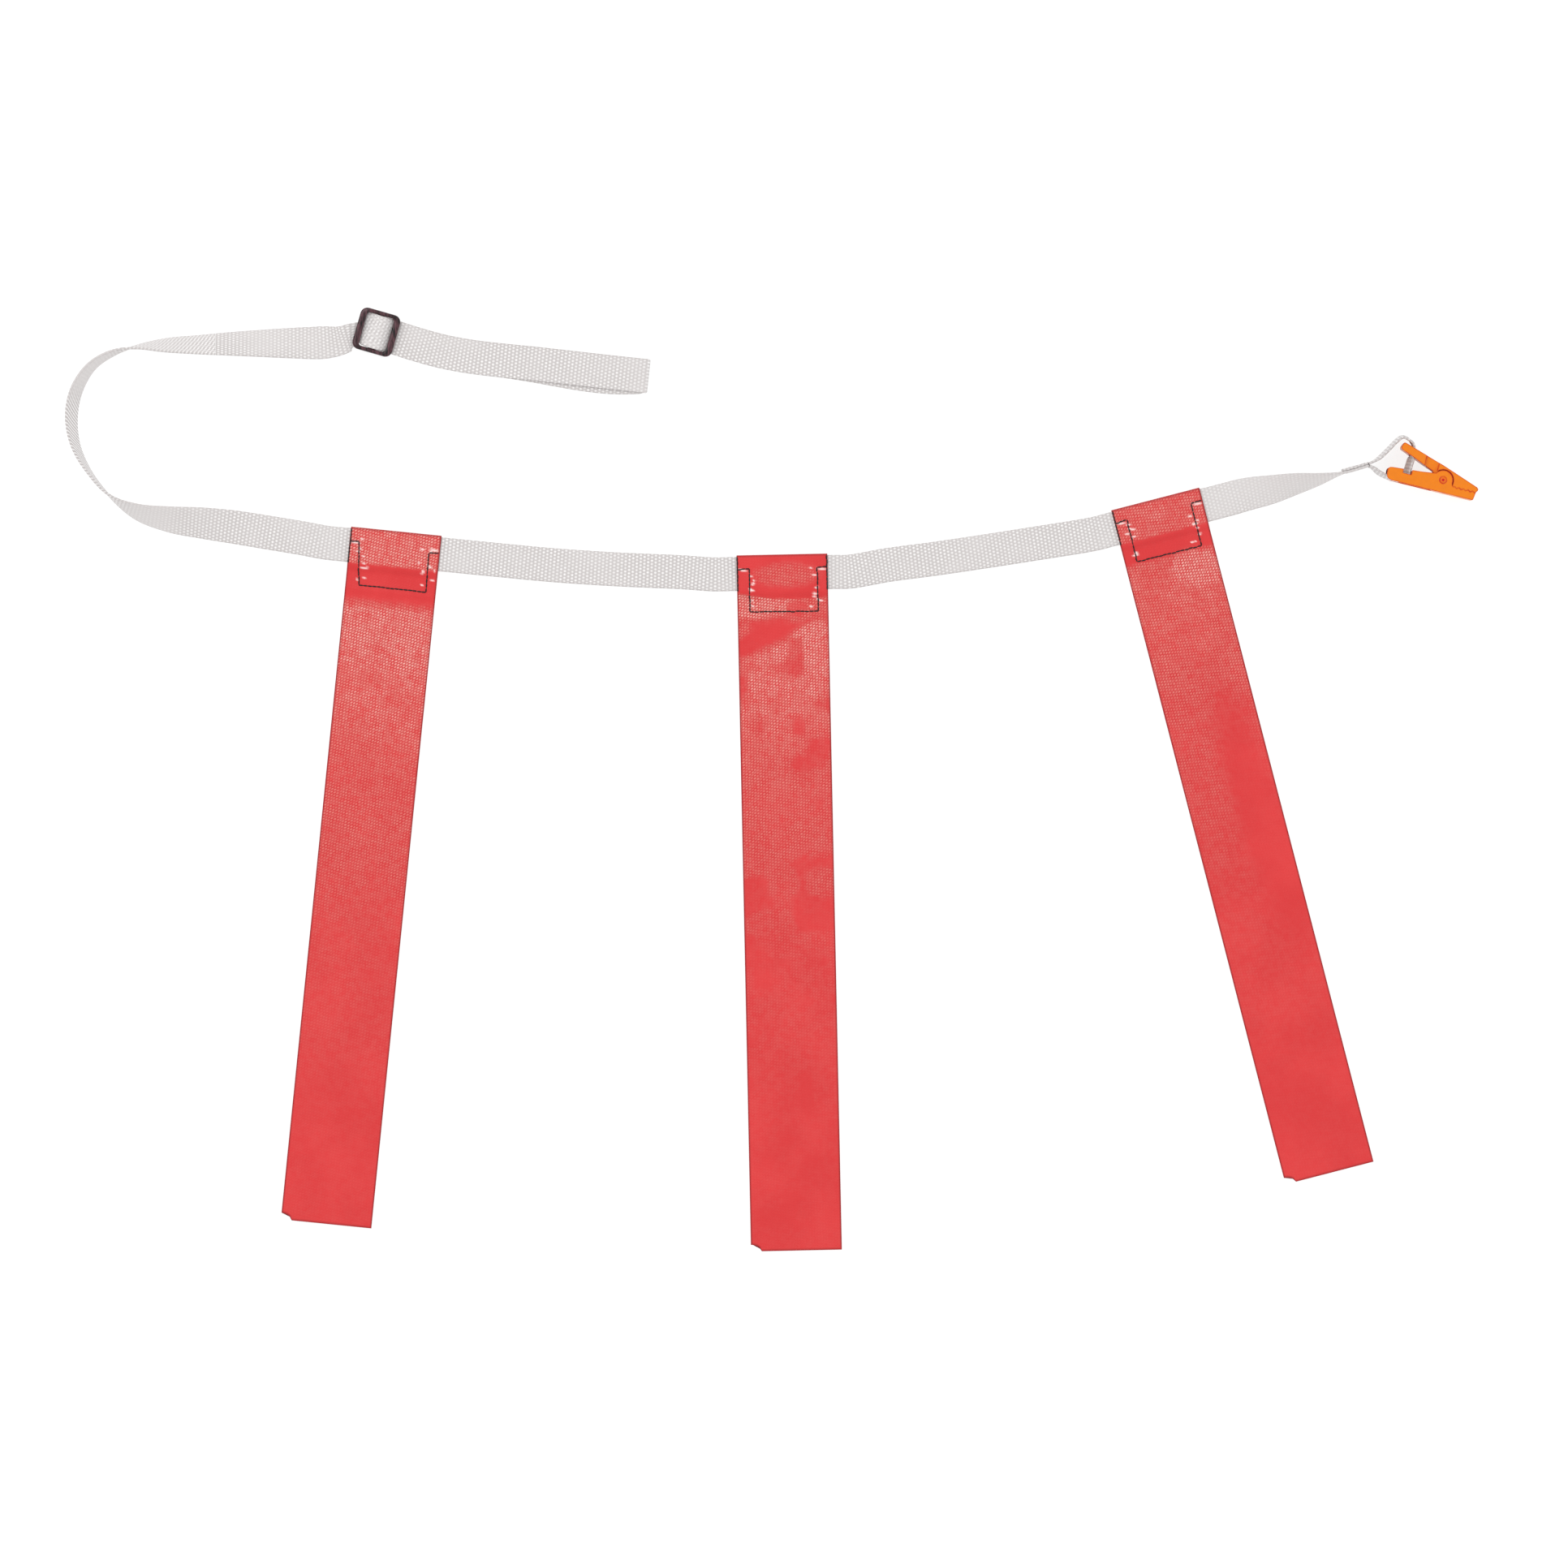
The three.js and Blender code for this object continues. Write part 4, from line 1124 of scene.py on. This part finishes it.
tackX = np.full(9, 4.3)
tackLine = atSlidePlace(np.stack([tackX, np.linspace(-7.6, 7.6, 9), np.full(9, 2.95)], 1))
a, b = stitchLine(tackLine, 1.7)
slideTack = stitches("slide_tack", a, b, 0.27, threadLook)
settled(slideTack, "slide", "slide_stitching")
print("slide moulded")


# the clip

clip = {"arris": 0.4, "pinArris": 0.3, "corner": 0.9, "steps": 3, "teethUp": 0.33}
notch = {"x": (-22.7, -17.9), "y": (-1.4, 4.0), "z": ((20.8, 24.0), (-1.0, 2.2))}


# two small boxes cut from a mesh, in the clip's frame: the notches the webbing shows through
def cutNotches(mesh, notch):
    (x0, x1), (y0, y1) = notch["x"], notch["y"]
    outline = ((x0, y0), (x1, y0), (x1, y1), (x0, y1))
    corners = np.array([(x, y, z) for z in (0, 1) for x, y in outline], float)
    faces = [(0, 3, 2, 1), (4, 5, 6, 7), (0, 1, 5, 4), (1, 2, 6, 5), (2, 3, 7, 6), (3, 0, 4, 7)]
    holder = bpy.data.objects.new("notchHolder", mesh)
    scene.collection.objects.link(holder)
    cutters = []
    for z0, z1 in notch["z"]:
        x, y = turned(belt["clipPivot"], belt["clipTilt"], corners[:, 0], corners[:, 1])
        z = np.where(corners[:, 2] > 0, z1, z0)
        block = bpy.data.meshes.new("notchBlock")
        block.from_pydata((np.stack([x, y, z], 1) * mm).tolist(), [], faces)
        cutter = bpy.data.objects.new("notchBlock", block)
        scene.collection.objects.link(cutter)
        cutters.append(cutter)
        cut = holder.modifiers.new("notch", "BOOLEAN")
        cut.operation = "DIFFERENCE"
        cut.solver = "EXACT"
        cut.object = cutter
    bpy.context.view_layer.update()
    result = bpy.data.meshes.new_from_object(holder.evaluated_get(bpy.context.evaluated_depsgraph_get()))
    for thing in (holder, *cutters):
        bpy.data.objects.remove(thing)
    return result


# where a mesh point is in the clip's frame, in millimetres
def inClipFrame(point):
    c, s = cosSin(belt["clipTilt"])
    dx, dy = point.x / mm - belt["clipPivot"][0], point.y / mm - belt["clipPivot"][1]
    return dx * c + dy * s, dy * c - dx * s


# the upright corners at the handle ends, which are rounder than the other arrises
def handleCorners(work):
    upright = [e for e in work.edges if abs((e.verts[0].co - e.verts[1].co).normalized().z) > 0.99]
    return [
        e for e in upright
        if inClipFrame(e.verts[0].co)[0] < -24.5 and len(e.link_faces) == 2 and e.calc_face_angle(0) > 0.3
        and min(f.calc_area() for f in e.link_faces) > 1.2e-6
    ]


# lifts one lever's teeth until they nearly meet the other's
def meshTeeth(work, lift):
    c, s = cosSin(belt["clipTilt"])
    for vertex in work.verts:
        x, y = inClipFrame(vertex.co)
        raised = lift if x > 6.2 else 3.2 * lift
        if x > 5.2 and -3.6 < y < -1.9:
            vertex.co += Vector((-s * raised * mm, c * raised * mm, 0))


# a moulded copy of a CAD node: loose triangles merged, flat faces joined again, its arrises rounded
def mouldedCopy(name, node, look, arris, notch=None, teethUp=0.0):
    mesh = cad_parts[node].data.copy()
    mesh.name = name
    mesh.materials.clear()
    if notch:
        welded = bmesh.new()
        welded.from_mesh(mesh)
        bmesh.ops.remove_doubles(welded, verts=welded.verts, dist=1e-6)
        welded.to_mesh(mesh)
        welded.free()
        mesh = cutNotches(mesh, notch)
        mesh.name = name
        mesh.materials.clear()
    work = bmesh.new()
    work.from_mesh(mesh)
    bmesh.ops.remove_doubles(work, verts=work.verts, dist=1e-6)
    bmesh.ops.dissolve_limit(work, angle_limit=math.radians(1.5), verts=work.verts, edges=work.edges)
    if teethUp:
        meshTeeth(work, teethUp)
    bmesh.ops.bevel(
        work, geom=handleCorners(work), offset=clip["corner"] * mm, offset_type="OFFSET", segments=4,
        profile=0.5, affect="EDGES", clamp_overlap=True,
    )
    sharp = [e for e in work.edges if len(e.link_faces) == 2 and e.calc_face_angle(0) > math.radians(28)]
    bmesh.ops.bevel(
        work, geom=sharp, offset=arris * mm, offset_type="OFFSET", segments=clip["steps"], profile=0.5,
        affect="EDGES", clamp_overlap=True,
    )
    bmesh.ops.triangulate(work, faces=[f for f in work.faces if len(f.verts) > 4])
    work.to_mesh(mesh)
    work.free()
    return finished(name, mesh, look, flip=False)


lowerLever = mouldedCopy(
    "clip_lower_shell", "clip_lower_lever", clipLook, clip["arris"], notch, teethUp=clip["teethUp"]
)
upperLever = mouldedCopy("clip_upper_shell", "clip_upper_lever", clipLook, clip["arris"])
pinBody = mouldedCopy("clip_pin_body", "clip_pin", pinLook, clip["pinArris"])
settled(lowerLever, "clip_lower", "clip_lower_lever")
settled(upperLever, "clip_upper", "clip_upper_lever")
settled(pinBody, "clip_lower", "clip_pin")

pinHead = {"radius": 2.25, "edge": 0.12, "dome": 0.42, "base": 22.96}


# the pin's head, turned about the pin: height at radius r = base + edge + (dome - edge) * (1 - (r/radius)^2)
def pinHeadPiece():
    turn = np.linspace(0, 2 * np.pi, 40, endpoint=False)
    part = np.array([0.02, 0.25, 0.5, 0.75, 0.92, 1.0, 1.0])
    top = pinHead["base"] + pinHead["edge"] + (pinHead["dome"] - pinHead["edge"]) * (1 - part**2)
    top[-1] = pinHead["base"]
    r = pinHead["radius"] * part[:, None]
    x, y = turned(belt["clipPivot"], 0, r * np.cos(turn), r * np.sin(turn))
    points = np.stack([x, y, np.repeat(top[:, None], len(turn), 1)], -1)
    return gridMesh("clip_pin_head", points * mm, np.zeros((len(part), len(turn) + 1, 2)), pinLook)


pinTop = pinHeadPiece()
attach(pinTop, "clip_lower")

spring = {"radius": 2.6, "wire": 0.45, "low": 8.95, "high": 14.05, "turns": 3.0}


# the spring's coil: radius * (cos a, sin a), climbing evenly from low to high
def springLine():
    turn = np.linspace(0.0, spring["turns"] * 2 * np.pi, 120) + np.pi * 0.9
    low, high = spring["low"] + spring["wire"], spring["high"] - spring["wire"]
    x, y = spring["radius"] * np.cos(turn), spring["radius"] * np.sin(turn)
    return np.stack([x, y, np.linspace(low, high, len(turn))], 1)


springLocal = springLine()
springX, springY = turned(belt["clipPivot"], belt["clipTilt"], springLocal[:, 0], springLocal[:, 1])
clipSpring = rod("clip_coil", np.stack([springX, springY, springLocal[:, 2]], 1), spring["wire"], steelLook)
settled(clipSpring, "clip_lower", "clip_spring")

# the bar tack that closes the loop at the clip, on the outer face of the standing webbing
tackRows = []
for z in (5.0, 8.4, 11.7, 15.0, 18.4):
    s = np.linspace(2.0, 13.0, 8)
    centre, _, face = webbingFrames(s)
    tackRows.append(centre + face * (belt["thick"] / 2 + 0.02) + (np.array([0, 0, z]) - centre * (0, 0, 1)))
pairs = [stitchLine(row, 2.2) for row in tackRows]
tackStarts = np.vstack([pair[0] for pair in pairs])
tackEnds = np.vstack([pair[1] for pair in pairs])
clipTack = stitches("clip_tack", tackStarts, tackEnds, 0.2, paleThreadLook)
settled(clipTack, "belt_right", "clip_loop_stitching")
print("clip moulded")


# floor, light and camera

studio = {"distance": 9.0, "aim": (0.0073, -0.0023), "shownWidth": 0.876}


# a white light table: it glows a little itself, so shadows on it stay faint
def floorFinish():
    look = Finish("lightTable", 0.9, Specular_IOR_Level=0.0, Emission_Strength=0.84)
    fibre = look.noise(look.objectPlace(), 9.0, 3.0)
    tone = look.mix(fibre, (0.21, 0.21, 0.21), (0.24, 0.24, 0.24))
    look.shader.inputs["Emission Color"].default_value = (1, 1, 1, 1)
    return look.feeds(Base_Color=tone)


floorMesh = bpy.data.meshes.new("floor")
floorMesh.from_pydata([(-3, -3, 0), (3, -3, 0), (3, 3, 0), (-3, 3, 0)], [], [(0, 1, 2, 3)])
floor = finished("floor", floorMesh, floorFinish(), flip=False)
floorMesh.transform(Matrix.Translation((0, 0, -0.0003)))

world = bpy.data.worlds.new("studio")
scene.world = world
world.use_nodes = True
background = world.node_tree.nodes["Background"]
background.inputs["Color"].default_value = (1, 1, 1, 1)
background.inputs["Strength"].default_value = 0.96


# a round soft lamp turned towards its aim
def softLight(name, place, size, power, aim=(0, 0, 0)):
    lamp = bpy.data.lights.new(name, "AREA")
    lamp.shape = "DISK"
    lamp.size = size
    lamp.energy = power
    holder = bpy.data.objects.new(name, lamp)
    scene.collection.objects.link(holder)
    holder.location = place
    holder.rotation_euler = (Vector(aim) - Vector(place)).to_track_quat("-Z", "Y").to_euler()


softLight("keyLight", (-1.2, 1.3, 2.3), 1.8, 20)
softLight("fillLight", (1.6, -0.9, 2.2), 2.2, 6)

lens = bpy.data.cameras.new("camera")
lens.sensor_width = 36
lens.lens = 36 * studio["distance"] / studio["shownWidth"]
lens.clip_start, lens.clip_end = 0.1, 60
camera = bpy.data.objects.new("camera", lens)
camera.location = (*studio["aim"], studio["distance"])
scene.collection.objects.link(camera)
scene.camera = camera
